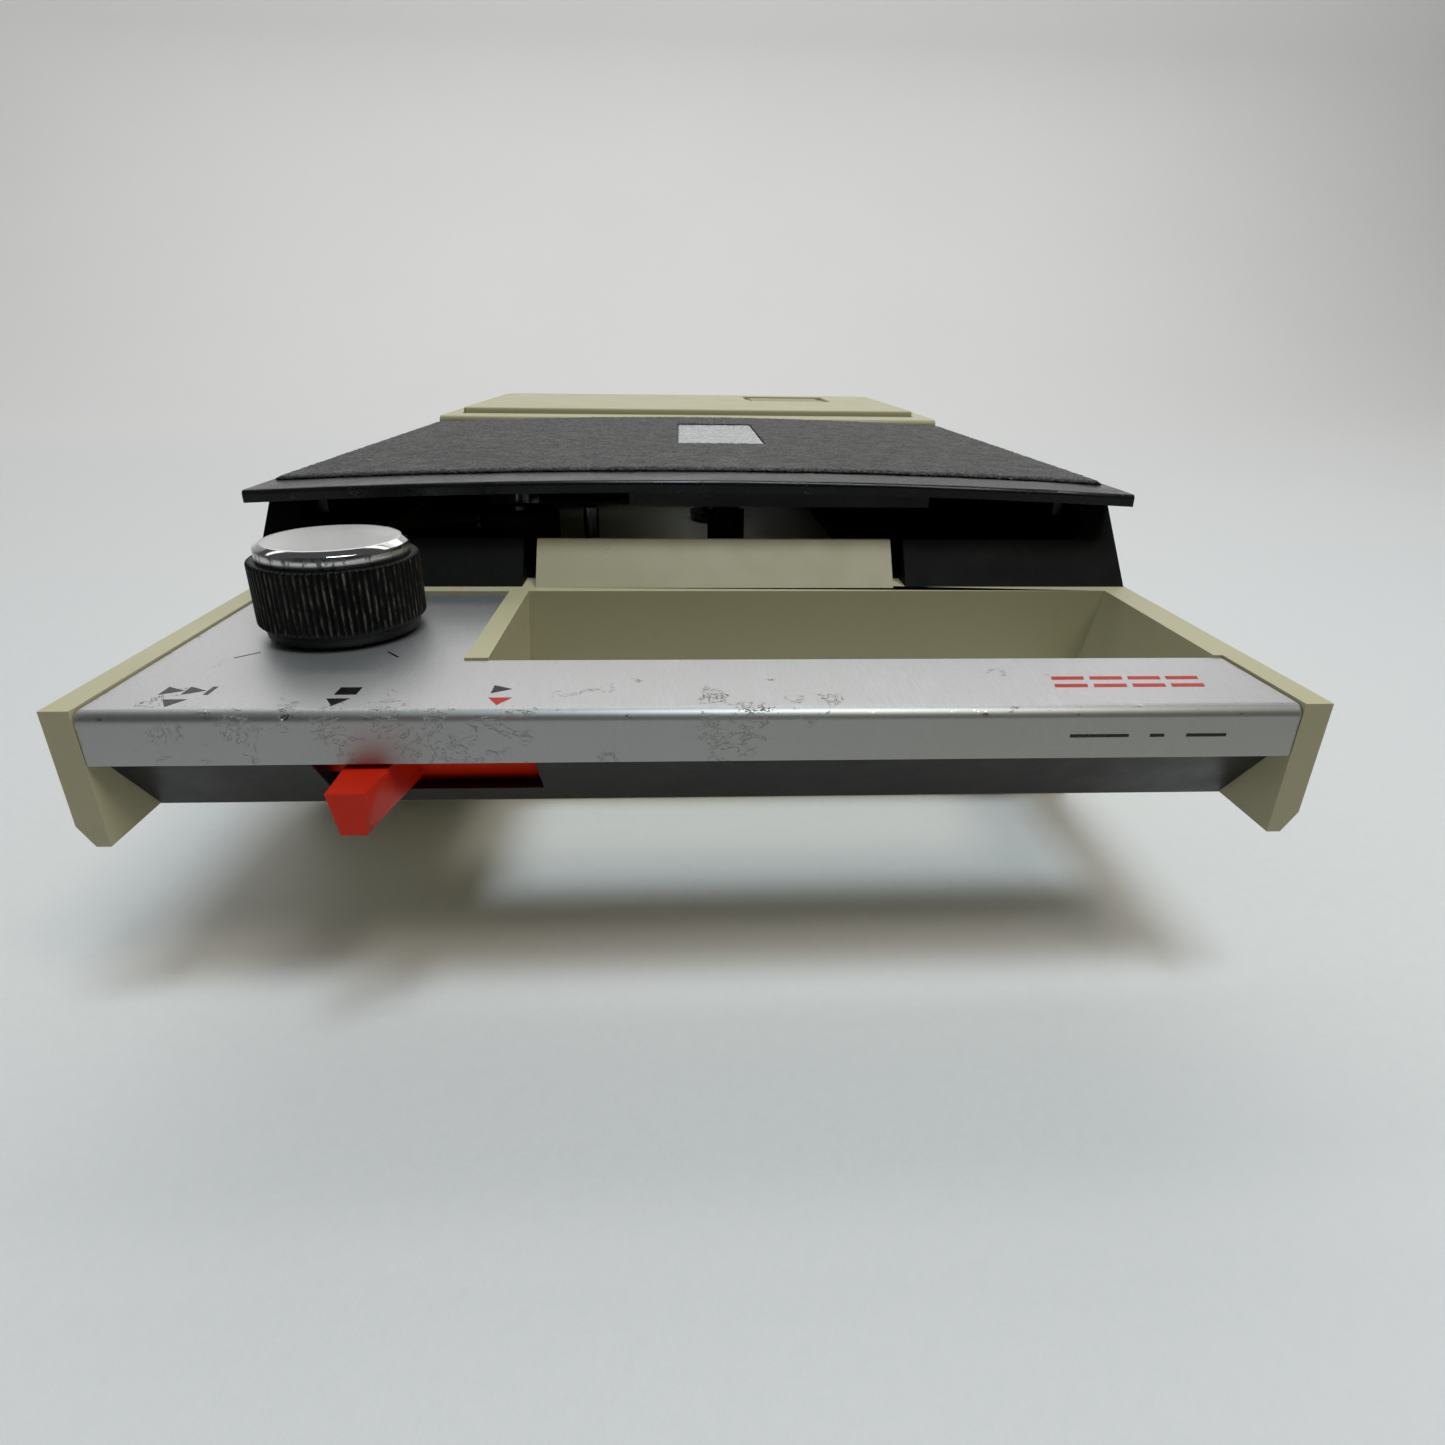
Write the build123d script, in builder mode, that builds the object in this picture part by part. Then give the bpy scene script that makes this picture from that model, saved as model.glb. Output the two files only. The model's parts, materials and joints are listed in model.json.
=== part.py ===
from build123d import *
import os
from math import acos, atan2, cos, hypot, sin, sqrt

# Portable cassette player with a carrying handle moulded into its front.
# Millimetres. +Z is up, -Y is the handle end, and the origin is on the ground
# under the middle of the whole object, the lever's finger included.

# ---- driving dimensions: case ----
body_width = 127.0
body_length = 222.0
foot_height = 1.5
rim_height = 37.5           # top of the lower case, above the ground
wall = 2.2                  # moulded wall of the lower case
corner_radius = 5.0
bottom_radius = 3.0

# ---- driving dimensions: carrying handle ----
handle_thickness = 15.0
bar_depth = 14.7            # front bar, from the front face to the grip
grip_length = 28.0
grip_left = -24.2           # left side of the finger opening at its top
grip_side = 4.0             # wall right of the finger opening
grip_draft_left = 0.8       # how far each side leans in, top to bottom
grip_draft_right = 3.2
rib_width = 2.7             # upright rib beside the control plate
cheek = 2.9                 # side cheeks of the front bar
tub_slope = 6.0             # the front wall leans back by this much
flange_thickness = 2.5      # ledge between the grip and the upper frame

# ---- driving dimensions: control plate and front panel ----
plate_thickness = 1.0
plate_sink = 0.3            # plate top below the rim
plate_drop = 5.9            # front lip of the plate, below the rim
plate_bend = 1.2
support = 1.8               # moulded shelf that the plate lies on
handle_floor = 2.0
panel_foot = 9.0            # the sloping panel's lower edge, behind the front
panel_thickness = 1.5
slot_left = -40.5
slot_width = 22.7
slot_low = 2.6              # lower edge of the slot, above the handle's underside

# ---- driving dimensions: transport lever ----
lever_reach = 5.0           # finger in front of the plate
finger_left = -36.3
finger_width = 5.4
finger_tip_width = 3.7
finger_height = 4.5
lever_back = 3.9            # travel to fast forward
lever_play = 12.5           # travel to play
slider_gap = 0.35
slider_thickness = 1.3

# ---- driving dimensions: volume control ----
knob_x = -43.7
knob_y = 26.0               # behind the front face
knob_radius = 9.6
knob_foot_radius = 8.9
knob_foot = 1.5
knob_height = 7.5
knob_gap = 0.4
cap_height = 2.0
cap_radius = 8.6
shaft_radius = 3.0
pot_radius = 8.5

# ---- driving dimensions: upper frame, lid and cassette well ----
frame_start = 45.0
frame_end = 149.9
frame_height = 11.2
frame_draft = 0.8           # each side leans in by this much
frame_lean = 0.76           # the front faces lean back, per unit of height
frame_wall = 2.4
block_height = 6.0
mouth_left = -25.5
mouth_right = 30.5
tab_gap = 2.0
tab_sink = 0.6              # the ramp starts in front of the upper frame by this much
tab_thickness = 0.9         # of the ramp's upper edge
hub_line = 5.5              # line through the two spindles
cassette_width = 63.8
cassette_length = 100.4
tape_edge = 35.0            # from the hub line to the cassette's tape edge
cassette_thickness = 8.7
cassette_side_gap = 1.0
cassette_end_gap = 0.3
cassette_top_gap = 0.4
well_start = 50.0
shelf_top = 0.8             # above the rim
shelf_thickness = 1.7
shelf_open_left = -18.5
shelf_open_right = 25.5
bay_left = -56.0
bay_right = -13.5
bay_start = 57.0
bay_end = 139.0
lid_start = 46.2
lid_end = 147.6
lid_half_width = 62.9
lid_thickness = 1.7
lid_crown = 1.7
lid_gap = 0.3
panel_start = 55.1
panel_end = 146.2
lid_panel_edge = 62.0
lid_panel_thickness = 0.7
window_left = -3.2
window_width = 16.4
window_start = 88.0
window_length = 39.5
window_thickness = 1.6
lid_opening = 75.0
hinge_radius = 1.5
hinge_pin_radius = 0.75
hinge_inner = 36.0          # where each hinge's knuckles start, off the middle
knuckle = 6.0

# ---- driving dimensions: rear housing and battery cover ----
rear_start = 150.3
rear_height = 15.0
rear_draft = 1.2
cover_start = 159.2
cover_edge = 58.3
cover_proud = 1.4
cover_thickness = 2.0
cover_travel = 40.0
recess_x = 29.7
recess_y = 204.5
recess_width = 25.0
recess_length = 22.0
recess_depth = 1.0

# ---- driving dimensions: mechanism ----
deck_top = 32.7
deck_thickness = 1.2
hub_spacing = 42.5
capstan_radius = 1.25
capstan_back = 23.0         # from the hub line towards the tape edge
capstan_side = 32.0         # from the middle of the hubs towards the handle
flywheel_radius = 19.0
flywheel_low = 21.0
flywheel_thickness = 6.0
flywheel_hub = 4.0
idler_radius = 7.5
disc_radius = 14.0
disc_low = 28.4
disc_thickness = 2.0
wheel_gap = 0.3             # friction wheels stand apart at stop
spindle_shaft = 1.5
spindle_radius = 2.5
spindle_rib = 0.8           # how far its six ribs stand out
spindle_flange = 6.0
flange_height = 1.6
spindle_height = 11.5       # above the deck
running = 0.05              # radial clearance of a shaft in its bush
motor_x = 38.0
motor_radius = 13.0
motor_height = 15.0
pulley_radius = 3.0
belt_thickness = 1.0
belt_width = 2.0
pivot_x = -48.5             # pivot of the transfer lever
pivot_y = 84.0
pivot_radius = 1.5
drive_arm = 22.0            # from that pivot to the pin that moves the head plate
transfer_low = 24.9
sheet = 1.2                 # pressed steel levers and brackets
roller_radius = 6.5
head_width = 12.0
head_height = 8.5

# ---- driving dimensions: supply and sound ----
cell_radius = 13.1
cell_length = 50.0
cell_gap = 1.0
tray_wall = 1.5
tray_low = 21.2
speaker_radius = 31.0
speaker_y = 188.0
board_low = 10.0
board_thickness = 1.6
socket_radius = 7.5
socket_z = 20.0
socket_first = 112.0        # behind the front
socket_pitch = 20.0
screw_radius = 1.4
screw_head = 2.8
screw_head_height = 1.4
screw_length = 34.5
post_radius = 3.4
post_x = 57.0
post_front = 54.0           # the posts under the deck's corners
post_rear = 144.0
post_housing = 153.7        # the posts under the rear housing's bosses
board_left = -30.0
board_right = 52.0
board_start = 96.0
board_end = 146.0
board_inset = 4.0           # its pegs and screws, in from each corner
peg_radius = 2.5
foot_radius = 6.0
foot_inset = 11.5
foot_start = 62.0
foot_end = 208.0

# ---- places that follow from them ----
front = (lever_reach - body_length) / 2
rear = front + body_length
half = body_width / 2
handle_low = rim_height - handle_thickness
grip_start = front + bar_depth
grip_end = grip_start + grip_length
floor_top = foot_height + wall
tub_inner_front = grip_end + wall
plate_top = rim_height - plate_sink
support_top = plate_top - plate_thickness
support_low = support_top - support
cavity_low = handle_low + handle_floor
rib_left = grip_left - rib_width
grip_right = half - grip_side
lid_under = rim_height + frame_height + lid_gap
lid_top = lid_under + lid_thickness
hinge_y = front + lid_end
hinge_z = lid_top - 0.5
shelf_z = rim_height + shelf_top
hub_middle = front + well_start + cassette_end_gap + cassette_length / 2
takeup = (hub_line, hub_middle - hub_spacing / 2)
supply = (hub_line, hub_middle + hub_spacing / 2)
capstan_xy = (hub_line - capstan_back, hub_middle - capstan_side)
well_left = hub_line - tape_edge - cassette_side_gap
well_right = well_left + cassette_width + 2 * cassette_side_gap
well_front = front + well_start
well_rear = well_front + cassette_length + 2 * cassette_end_gap
cassette_top = shelf_z + cassette_thickness + cassette_top_gap
tab_start = frame_start - tab_sink
tab_crest = tab_start + block_height * frame_lean
tab_back = tab_crest + tab_thickness
deck_low = deck_top - deck_thickness
rear_top = rim_height + rear_height
cover_top = rear_top + cover_proud
cover_low = cover_top - cover_thickness
pivot = (pivot_x, front + pivot_y)
pot_bush = shaft_radius + 1.5
screw_seat = foot_height + screw_head_height + 0.2
screw_top = screw_seat + screw_length
deck_posts = [
    (side * post_x, front + along) for side in (-1, 1) for along in (post_front, post_rear)
]
housing_posts = [(side * post_x, front + post_housing) for side in (-1, 1)]
posts = deck_posts + housing_posts
board_x = (board_left, board_right)
board_y = (front + board_start, front + board_end)
board_pegs = [
    (x, y)
    for x in (board_left + board_inset, board_right - board_inset)
    for y in (board_y[0] + board_inset, board_y[1] - board_inset)
]
socket_places = (front + socket_first, front + socket_first + socket_pitch)

os.makedirs("parts", exist_ok=True)
finished = []


def keep(builder, label):
    """Name a finished sub-part and write it as its own STEP file."""
    builder.part.label = label
    finished.append(label)
    export_step(builder.part, f"parts/{label}.step")


def slab(x0, x1, y0, y1, z0, z1, mode=Mode.ADD):
    """A rectangular block between two corners, in the part being built."""
    with Locations(((x0 + x1) / 2, (y0 + y1) / 2, (z0 + z1) / 2)):
        Box(x1 - x0, y1 - y0, z1 - z0, mode=mode)


def post(x, y, z0, z1, radius, mode=Mode.ADD):
    """An upright cylinder between two heights, in the part being built."""
    with Locations((x, y, (z0 + z1) / 2)):
        Cylinder(radius, z1 - z0, mode=mode)


# ======== case ========

# Lower case: the tub, the handle frame and the ramp at the cassette mouth
tub_foot = grip_end + tub_slope
mouth_tab_left = mouth_left + tab_gap
mouth_tab_right = mouth_right - tab_gap
with BuildPart() as lower_case:
    with BuildSketch(Plane.YZ.offset(-half)):
        with BuildLine():
            Polyline(
                (front, rim_height),
                (front, handle_low),
                (grip_end, handle_low),
                (tub_foot, foot_height),
                (rear, foot_height),
                (rear, rim_height),
                close=True,
            )
        make_face()
    extrude(amount=body_width)
    fillet(lower_case.edges().filter_by(Axis.Z).group_by(Axis.Y)[-1], corner_radius)
    fillet(lower_case.edges().group_by(Axis.Z)[0], bottom_radius)
    chamfer(
        [
            edge
            for edge in lower_case.edges().filter_by(Axis.Y)
            if abs(edge.center().Z - handle_low) < 0.1 and abs(edge.center().X) > half - 0.1
        ],
        length=2.4,
        length2=1.4,
    )
    # inside of the tub
    with BuildSketch(Plane.YZ.offset(wall - half)):
        with BuildLine():
            Polyline(
                (tub_inner_front, rim_height),
                (tub_inner_front, handle_low),
                (tub_foot + wall, floor_top),
                (rear - wall, floor_top),
                (rear - wall, rim_height),
                close=True,
            )
        make_face()
    extrude(amount=body_width - 2 * wall, mode=Mode.SUBTRACT)
    # finger opening, with its leaning sides
    with BuildSketch(Plane.XZ.offset(-grip_start)):
        with BuildLine():
            Polyline(
                (grip_left, rim_height),
                (grip_right, rim_height),
                (grip_right - grip_draft_right, handle_low),
                (grip_left - grip_draft_left, handle_low),
                close=True,
            )
        make_face()
    extrude(amount=-grip_length, mode=Mode.SUBTRACT)
    # front bar and the compartment under the volume knob
    bar_inner = grip_start - wall
    slab(cheek - half, half - cheek, front, bar_inner, handle_low, rim_height, Mode.SUBTRACT)
    slab(
        cheek - half, rib_left, bar_inner, grip_end, cavity_low, rim_height, Mode.SUBTRACT
    )
    slab(
        cheek - half, half - cheek, front + panel_foot, bar_inner, handle_low, cavity_low
    )
    slab(
        cheek - half, half - cheek, front + 1.0, bar_inner, support_low, support_top
    )
    slab(cheek - half, rib_left, bar_inner, grip_end, support_low, support_top)
    slab(
        cheek - half, half - cheek, bar_inner, grip_start, support_top, rim_height, Mode.SUBTRACT
    )
    # passage from that compartment into the tub
    slab(
        bay_left, rib_left - 3.0, grip_end, tub_inner_front, cavity_low, support_low - 1.5,
        Mode.SUBTRACT,
    )
    post(knob_x, front + knob_y, support_low, support_top, pot_bush + 0.1, Mode.SUBTRACT)
    # flange under the front of the upper frame, and the ramp
    slab(
        wall - half, half - wall, tub_inner_front, front + frame_start + 5.0,
        rim_height - flange_thickness, rim_height,
    )
    with BuildSketch(Plane.YZ.offset(mouth_tab_left)):
        with BuildLine():
            Polyline(
                (front + tab_start, rim_height),
                (front + tab_crest, rim_height + block_height),
                (front + tab_back, rim_height + block_height),
                (front + tab_back, rim_height - flange_thickness),
                (front + tab_start, rim_height - flange_thickness),
                close=True,
            )
        make_face()
    extrude(amount=mouth_tab_right - mouth_tab_left)
    # posts for the case screws, pegs for the amplifier
    for x, y in posts:
        post(x, y, floor_top, deck_low, post_radius)
        post(x, y, foot_height, deck_low, screw_radius, Mode.SUBTRACT)
        post(x, y, foot_height, screw_seat, screw_head + 0.2, Mode.SUBTRACT)
    for x, y in board_pegs:
        post(x, y, floor_top, board_low, peg_radius)
        post(x, y, floor_top + 1.0, board_low, screw_radius, Mode.SUBTRACT)
    # sound slots under the loudspeaker
    with BuildSketch(Plane.XY.offset(foot_height)):
        with Locations((0, front + speaker_y)):
            with GridLocations(6.0, 0, 8, 1):
                SlotOverall(42.0, 2.6, rotation=90)
    extrude(amount=wall, mode=Mode.SUBTRACT)
    # holes for the two sockets in the right side
    for y in socket_places:
        with Locations(Location((half - wall / 2, y, socket_z), (0, 90, 0))):
            Cylinder(socket_radius + 0.2, wall + 1.0, mode=Mode.SUBTRACT)
keep(lower_case, "lower_case")

# Upper frame: black moulding with the cassette well and the mechanism bay
frame_top = rim_height + frame_height
block_top = rim_height + block_height
inner_side = half - 5.4
with BuildPart() as upper_frame:
    with BuildSketch(Plane.XZ.offset(-(front + frame_start))):
        with BuildLine():
            Polyline(
                (-half + 0.2, rim_height),
                (-half + 0.2 + frame_draft, frame_top),
                (half - 0.2 - frame_draft, frame_top),
                (half - 0.2, rim_height),
                close=True,
            )
        make_face()
    extrude(amount=-(frame_end - frame_start))
    # leaning front
    with BuildSketch(Plane.YZ.offset(-half)):
        with BuildLine():
            Polyline(
                (front + frame_start, rim_height),
                (front + frame_start + frame_height * frame_lean, frame_top),
                (front + frame_start, frame_top),
                close=True,
            )
        make_face()
    extrude(amount=body_width, mode=Mode.SUBTRACT)
    # hollow between the side walls, above the blocks
    with BuildSketch(Plane.XY.offset(block_top)):
        with Locations((0, (front + frame_start + front + frame_end - frame_wall) / 2)):
            Rectangle(2 * inner_side, frame_end - frame_start - frame_wall)
    extrude(amount=frame_height - block_height, mode=Mode.SUBTRACT)
    fillet(
        upper_frame.edges().filter_by(Axis.Y).filter_by(
            lambda edge: abs(edge.center().Z - block_top) < 0.01
            and abs(abs(edge.center().X) - inner_side) < 0.01
        ),
        2.5,
    )
    # undersides of the two side decks
    under = block_top - 2.0
    for x0, x1 in ((-inner_side, well_left - 2.0), (well_right + 2.0, inner_side)):
        slab(x0, x1, front + frame_start + 8.0, front + frame_end - frame_wall,
             rim_height, under, Mode.SUBTRACT)
    # cassette well and the shelf that the cassette lies on
    slab(well_left, well_right, well_front, front + frame_end - frame_wall,
         rim_height, block_top, Mode.SUBTRACT)
    slab(mouth_left, mouth_right, front + frame_start, well_front,
         rim_height, block_top, Mode.SUBTRACT)
    slab(well_left - 2.0, well_right + 2.0, front + tab_back + 0.3, front + frame_end,
         shelf_z - shelf_thickness, shelf_z)
    slab(shelf_open_left, shelf_open_right, front + tab_back + 4.0,
         front + frame_end - 5.0, shelf_z - shelf_thickness, shelf_z, Mode.SUBTRACT)
    slab(bay_left, bay_right, front + bay_start, front + bay_end,
         shelf_z - shelf_thickness, block_top, Mode.SUBTRACT)
    slab(well_left, well_right, front + frame_end - frame_wall, front + frame_end,
         shelf_z, cassette_top, Mode.SUBTRACT)
    fillet(
        upper_frame.edges().filter_by(Axis.Z).filter_by(
            lambda edge: min(
                abs(edge.center().X - mouth_left), abs(edge.center().X - mouth_right)
            ) < 0.01
            and edge.length > 1.0
        ),
        0.8,
    )
    # bosses that the case screws bite into
    for x, y in deck_posts:
        post(x, y, deck_top, under, post_radius)
        post(x, y, deck_top, screw_top, screw_radius, Mode.SUBTRACT)
    # hinge knuckles on the rear wall
    for side in (-1, 1):
        x = side * (hinge_inner + knuckle * 1.5 + lid_gap)
        slab(x - knuckle / 2, x + knuckle / 2, hinge_y - 0.9, hinge_y + 1.4,
             frame_top - 1.0, hinge_z)
        with Locations(Location((x, hinge_y, hinge_z), (0, 90, 0))):
            Cylinder(hinge_radius, knuckle)
            Cylinder(hinge_pin_radius + running, knuckle, mode=Mode.SUBTRACT)
keep(upper_frame, "upper_frame")

# Rear housing over the batteries
seat_z = cover_low - lid_gap
opening_front = front + cover_start + 3.0
with BuildPart() as rear_housing:
    with BuildSketch(Plane.XZ.offset(-(front + rear_start))):
        with BuildLine():
            Polyline(
                (-half + 0.2, rim_height),
                (-half + 0.2 + rear_draft, rear_top),
                (half - 0.2 - rear_draft, rear_top),
                (half - 0.2, rim_height),
                close=True,
            )
        make_face()
    extrude(amount=-(body_length - rear_start))
    upright = rear_housing.edges().group_by(Axis.Y)[-1]
    fillet(upright.filter_by(lambda edge: abs(edge.center().X) > half - 3.0), corner_radius)
    fillet(
        rear_housing.faces().sort_by(Axis.Z)[-1].edges().sort_by(Axis.Y)[0:1],
        1.2,
    )
    slab(wall - half, half - wall, front + rear_start + wall, rear - wall,
         rim_height, seat_z - support, Mode.SUBTRACT)
    slab(-cover_edge - lid_gap, cover_edge + lid_gap, front + cover_start - lid_gap, rear,
         seat_z, rear_top, Mode.SUBTRACT)
    slab(5.0 - cover_edge, cover_edge - 5.0, opening_front, rear - wall - 3.0,
         seat_z - support, seat_z, Mode.SUBTRACT)
    slab(well_left, well_right, front + rear_start, well_rear, shelf_z, cassette_top,
         Mode.SUBTRACT)
    for x, y in housing_posts:
        post(x, y, deck_low, seat_z - support, post_radius)
        post(x, y, deck_low, screw_top, screw_radius, Mode.SUBTRACT)
keep(rear_housing, "rear_housing")

# Battery cover: a plate that slides off to the rear, with a ribbed thumb recess
with BuildPart() as battery_cover:
    slab(-cover_edge, cover_edge, front + cover_start, rear - 0.3, cover_low, cover_top)
    fillet(battery_cover.edges().filter_by(Axis.Z).sort_by(Axis.Y)[:2], 1.0)
    fillet(battery_cover.edges().filter_by(Axis.Z).sort_by(Axis.Y)[-2:], corner_radius)
    chamfer(battery_cover.faces().sort_by(Axis.Z)[-1].edges(), 0.35)
    slab(recess_x - recess_width / 2, recess_x + recess_width / 2,
         front + recess_y - recess_length / 2, front + recess_y + recess_length / 2,
         cover_top - recess_depth, cover_top, Mode.SUBTRACT)
    rib_count = 7
    for number in range(rib_count):
        y = front + recess_y + (number - (rib_count - 1) / 2) * recess_length / rib_count
        slab(recess_x - recess_width / 2 + 2.0, recess_x + recess_width / 2 - 2.0,
             y - 0.5, y + 0.5, cover_top - recess_depth, cover_top - 0.4)
keep(battery_cover, "battery_cover")

# Control plate: bent aluminium sheet, wide under the knob
with BuildPart() as control_plate:
    with BuildSketch(Plane.YZ.offset(cheek - half + 0.1)):
        with BuildLine():
            Polyline(
                (front, rim_height - plate_drop),
                (front, plate_top),
                (grip_start, plate_top),
                (grip_start, support_top),
                (front + plate_thickness, support_top),
                (front + plate_thickness, rim_height - plate_drop),
                close=True,
            )
        make_face()
    extrude(amount=body_width - 2 * cheek - 0.2)
    fillet(
        control_plate.edges().filter_by(Axis.X).filter_by(
            lambda edge: edge.center().Y < front + 0.1 and edge.center().Z > plate_top - 0.1
        ),
        plate_bend,
    )
    slab(cheek - half + 0.1, rib_left, grip_start, grip_end - 0.3, support_top, plate_top)
    post(knob_x, front + knob_y, support_top, plate_top, shaft_radius + 0.8, Mode.SUBTRACT)
keep(control_plate, "control_plate")

# Front panel: dark strip that slopes back under the plate, with the lever's slot
slope_run = panel_foot - plate_thickness
slope_rise = rim_height - plate_drop + 1.0 - handle_low
slope = slope_rise / slope_run
panel_upright = panel_thickness * hypot(1.0, slope)
with BuildPart() as front_panel:
    with BuildSketch(Plane.YZ.offset(cheek - half + 0.1)):
        with BuildLine():
            Polyline(
                (front + plate_thickness, handle_low + slope_rise),
                (front + panel_foot, handle_low),
                (front + panel_foot, handle_low + panel_upright),
                (
                    front + panel_foot - (support_low - handle_low - panel_upright) / slope,
                    support_low,
                ),
                (front + plate_thickness, support_low),
                close=True,
            )
        make_face()
    extrude(amount=body_width - 2 * cheek - 0.2)
    slab(slot_left, slot_left + slot_width, front, grip_start,
         handle_low + slot_low, rim_height - plate_drop + 0.4, Mode.SUBTRACT)
keep(front_panel, "front_panel")


# ======== transport lever and what it moves ========

finger_top = rim_height - plate_drop - 0.6
slider_low = transfer_low + sheet + 0.7
slider_foot = cavity_low + 0.4
slider_high = support_low - 0.4
slider_front = handle_low + panel_upright + slider_gap * hypot(1.0, slope)
slider_upright = slider_thickness * hypot(1.0, slope)
pin_y = front + panel_foot + 1.9


def slope_y(height, base):
    """Where a line parallel to the front panel reaches a height."""
    return front + panel_foot - (height - base) / slope


slider_right = slot_left + slot_width + lever_back + 0.3
with BuildPart() as transport_lever:
    with BuildSketch(Plane.YZ.offset(finger_left)):
        with BuildLine():
            Polyline(
                (slope_y(slider_high, slider_front), slider_high),
                (slope_y(slider_foot, slider_front), slider_foot),
                (slope_y(slider_foot, slider_front + slider_upright), slider_foot),
                (slope_y(slider_high, slider_front + slider_upright), slider_high),
                close=True,
            )
        make_face()
    extrude(amount=slider_right - finger_left)
    finger_back = slope_y(finger_top - finger_height / 2, slider_front + slider_upright / 2)
    with BuildSketch(Plane.XZ.offset(-(front - lever_reach))):
        with BuildLine():
            Polyline(
                (finger_left + 0.2, finger_top),
                (finger_left + 0.2 + finger_tip_width, finger_top),
                (finger_left - 0.2 + finger_tip_width, finger_top - finger_height),
                (finger_left + 1.0, finger_top - finger_height),
                close=True,
            )
        make_face()
    with BuildSketch(Plane.XZ.offset(-finger_back)):
        with BuildLine():
            Polyline(
                (finger_left, finger_top),
                (finger_left + finger_width, finger_top),
                (finger_left + finger_width, finger_top - finger_height),
                (finger_left, finger_top - finger_height),
                close=True,
            )
        make_face()
    loft()
    slab(pivot_x - 2.0, finger_left + 3.0, slope_y(slider_low, slider_front),
         front + bar_depth - wall - 0.3, slider_low, slider_low + sheet)
    post(pivot_x, pin_y, transfer_low, slider_low + sheet, 0.9)
keep(transport_lever, "transport_lever")

# Transfer lever: carries the lever's motion back to the head plate
arm_length = pivot[1] - pin_y
arm_width = 5.0
with BuildPart() as transfer_lever:
    with BuildSketch(Plane.XY.offset(transfer_low)):
        with Locations((pivot_x, (pivot[1] + pin_y) / 2 + 1.5)):
            Rectangle(arm_width, arm_length - 3.0)
        with Locations(pivot):
            Circle(5.0)
        with Locations((pivot_x, pin_y + 1.0)):
            Rectangle(5.6, 5.0)
        with Locations((pivot_x, pin_y)):
            SlotOverall(5.2, 2.5, rotation=90, mode=Mode.SUBTRACT)
        with Locations(pivot):
            Circle(pivot_radius + running, mode=Mode.SUBTRACT)
    extrude(amount=sheet)
    post(pivot_x, pivot[1] - drive_arm, transfer_low, deck_top + 2.2, 1.1)
keep(transfer_lever, "transfer_lever")

# Head plate: slides on two studs, and carries the play head and the pinch arm
plate_low = deck_top + 0.4
plate_high = plate_low + sheet
head_ratio = drive_arm / arm_length
head_travel = (lever_back + lever_play) * head_ratio
head_offset = (lever_back - lever_play) * head_ratio / 2
roller_rest = capstan_xy[0] - capstan_radius - roller_radius - lever_play * head_ratio - wheel_gap
arm_pivot = (roller_rest - 8.5, capstan_xy[1] + 15.0)
guide_places = ((pivot_x, front + 74.0), (pivot_x, front + 110.0))
head_plate_right = roller_rest - 3.5
with BuildPart() as head_plate:
    with BuildSketch(Plane.XY.offset(plate_low)):
        with Locations(((bay_left + 2.0 + head_plate_right) / 2, front + (58.5 + 116.0) / 2)):
            RectangleRounded(head_plate_right - bay_left - 2.0, 116.0 - 58.5, 1.5)
        with Locations(*[(x + head_offset, y) for x, y in guide_places]):
            SlotOverall(head_travel + 2 * pivot_radius + 1.2, 2 * pivot_radius + 0.6,
                        mode=Mode.SUBTRACT)
        with Locations((pivot_x, pivot[1] - drive_arm)):
            SlotOverall(5.0, 3.0, rotation=90, mode=Mode.SUBTRACT)
    extrude(amount=sheet)
    post(*arm_pivot, plate_high, plate_high + 2.6, 1.2)
keep(head_plate, "head_plate")

head_face = hub_line - tape_edge - 1.2
with BuildPart() as play_head:
    slab(head_face - 9.0, head_face, hub_middle - head_width / 2, hub_middle + head_width / 2,
         plate_high + 2.4, plate_high + 2.4 + head_height)
    fillet(play_head.edges().filter_by(Axis.Z).group_by(Axis.X)[-1], 4.0)
    slab(head_face - 12.0, head_face - 1.5, hub_middle - 9.0, hub_middle + 9.0,
         plate_high, plate_high + 2.4)
keep(play_head, "play_head")

with BuildPart() as head_screws:
    for side in (-1, 1):
        post(head_face - 9.5, hub_middle + side * 7.6, plate_high + 2.4, plate_high + 3.8, 1.2)
keep(head_screws, "head_screws")

# Pinch arm and roller
arm_low = plate_high + 0.3
roller_xy = (roller_rest, capstan_xy[1])
roller_low = arm_low + sheet + 0.5
roller_high = roller_low + 8.0
with BuildPart() as pinch_arm:
    with BuildSketch(Plane.XY.offset(arm_low)):
        with Locations(arm_pivot):
            Circle(3.6)
        with Locations(roller_xy):
            Circle(3.2)
        make_hull()
        with Locations(arm_pivot):
            Circle(1.2 + running, mode=Mode.SUBTRACT)
    extrude(amount=sheet)
    post(*roller_xy, arm_low, roller_high + 0.6, 1.0)
keep(pinch_arm, "pinch_arm")

with BuildPart() as pinch_roller:
    post(*roller_xy, roller_low, roller_high, roller_radius)
    fillet(pinch_roller.edges(), 0.5)
    post(*roller_xy, roller_low, roller_high, 1.0 + running, Mode.SUBTRACT)
keep(pinch_roller, "pinch_roller")


# ======== deck and drive ========

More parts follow.
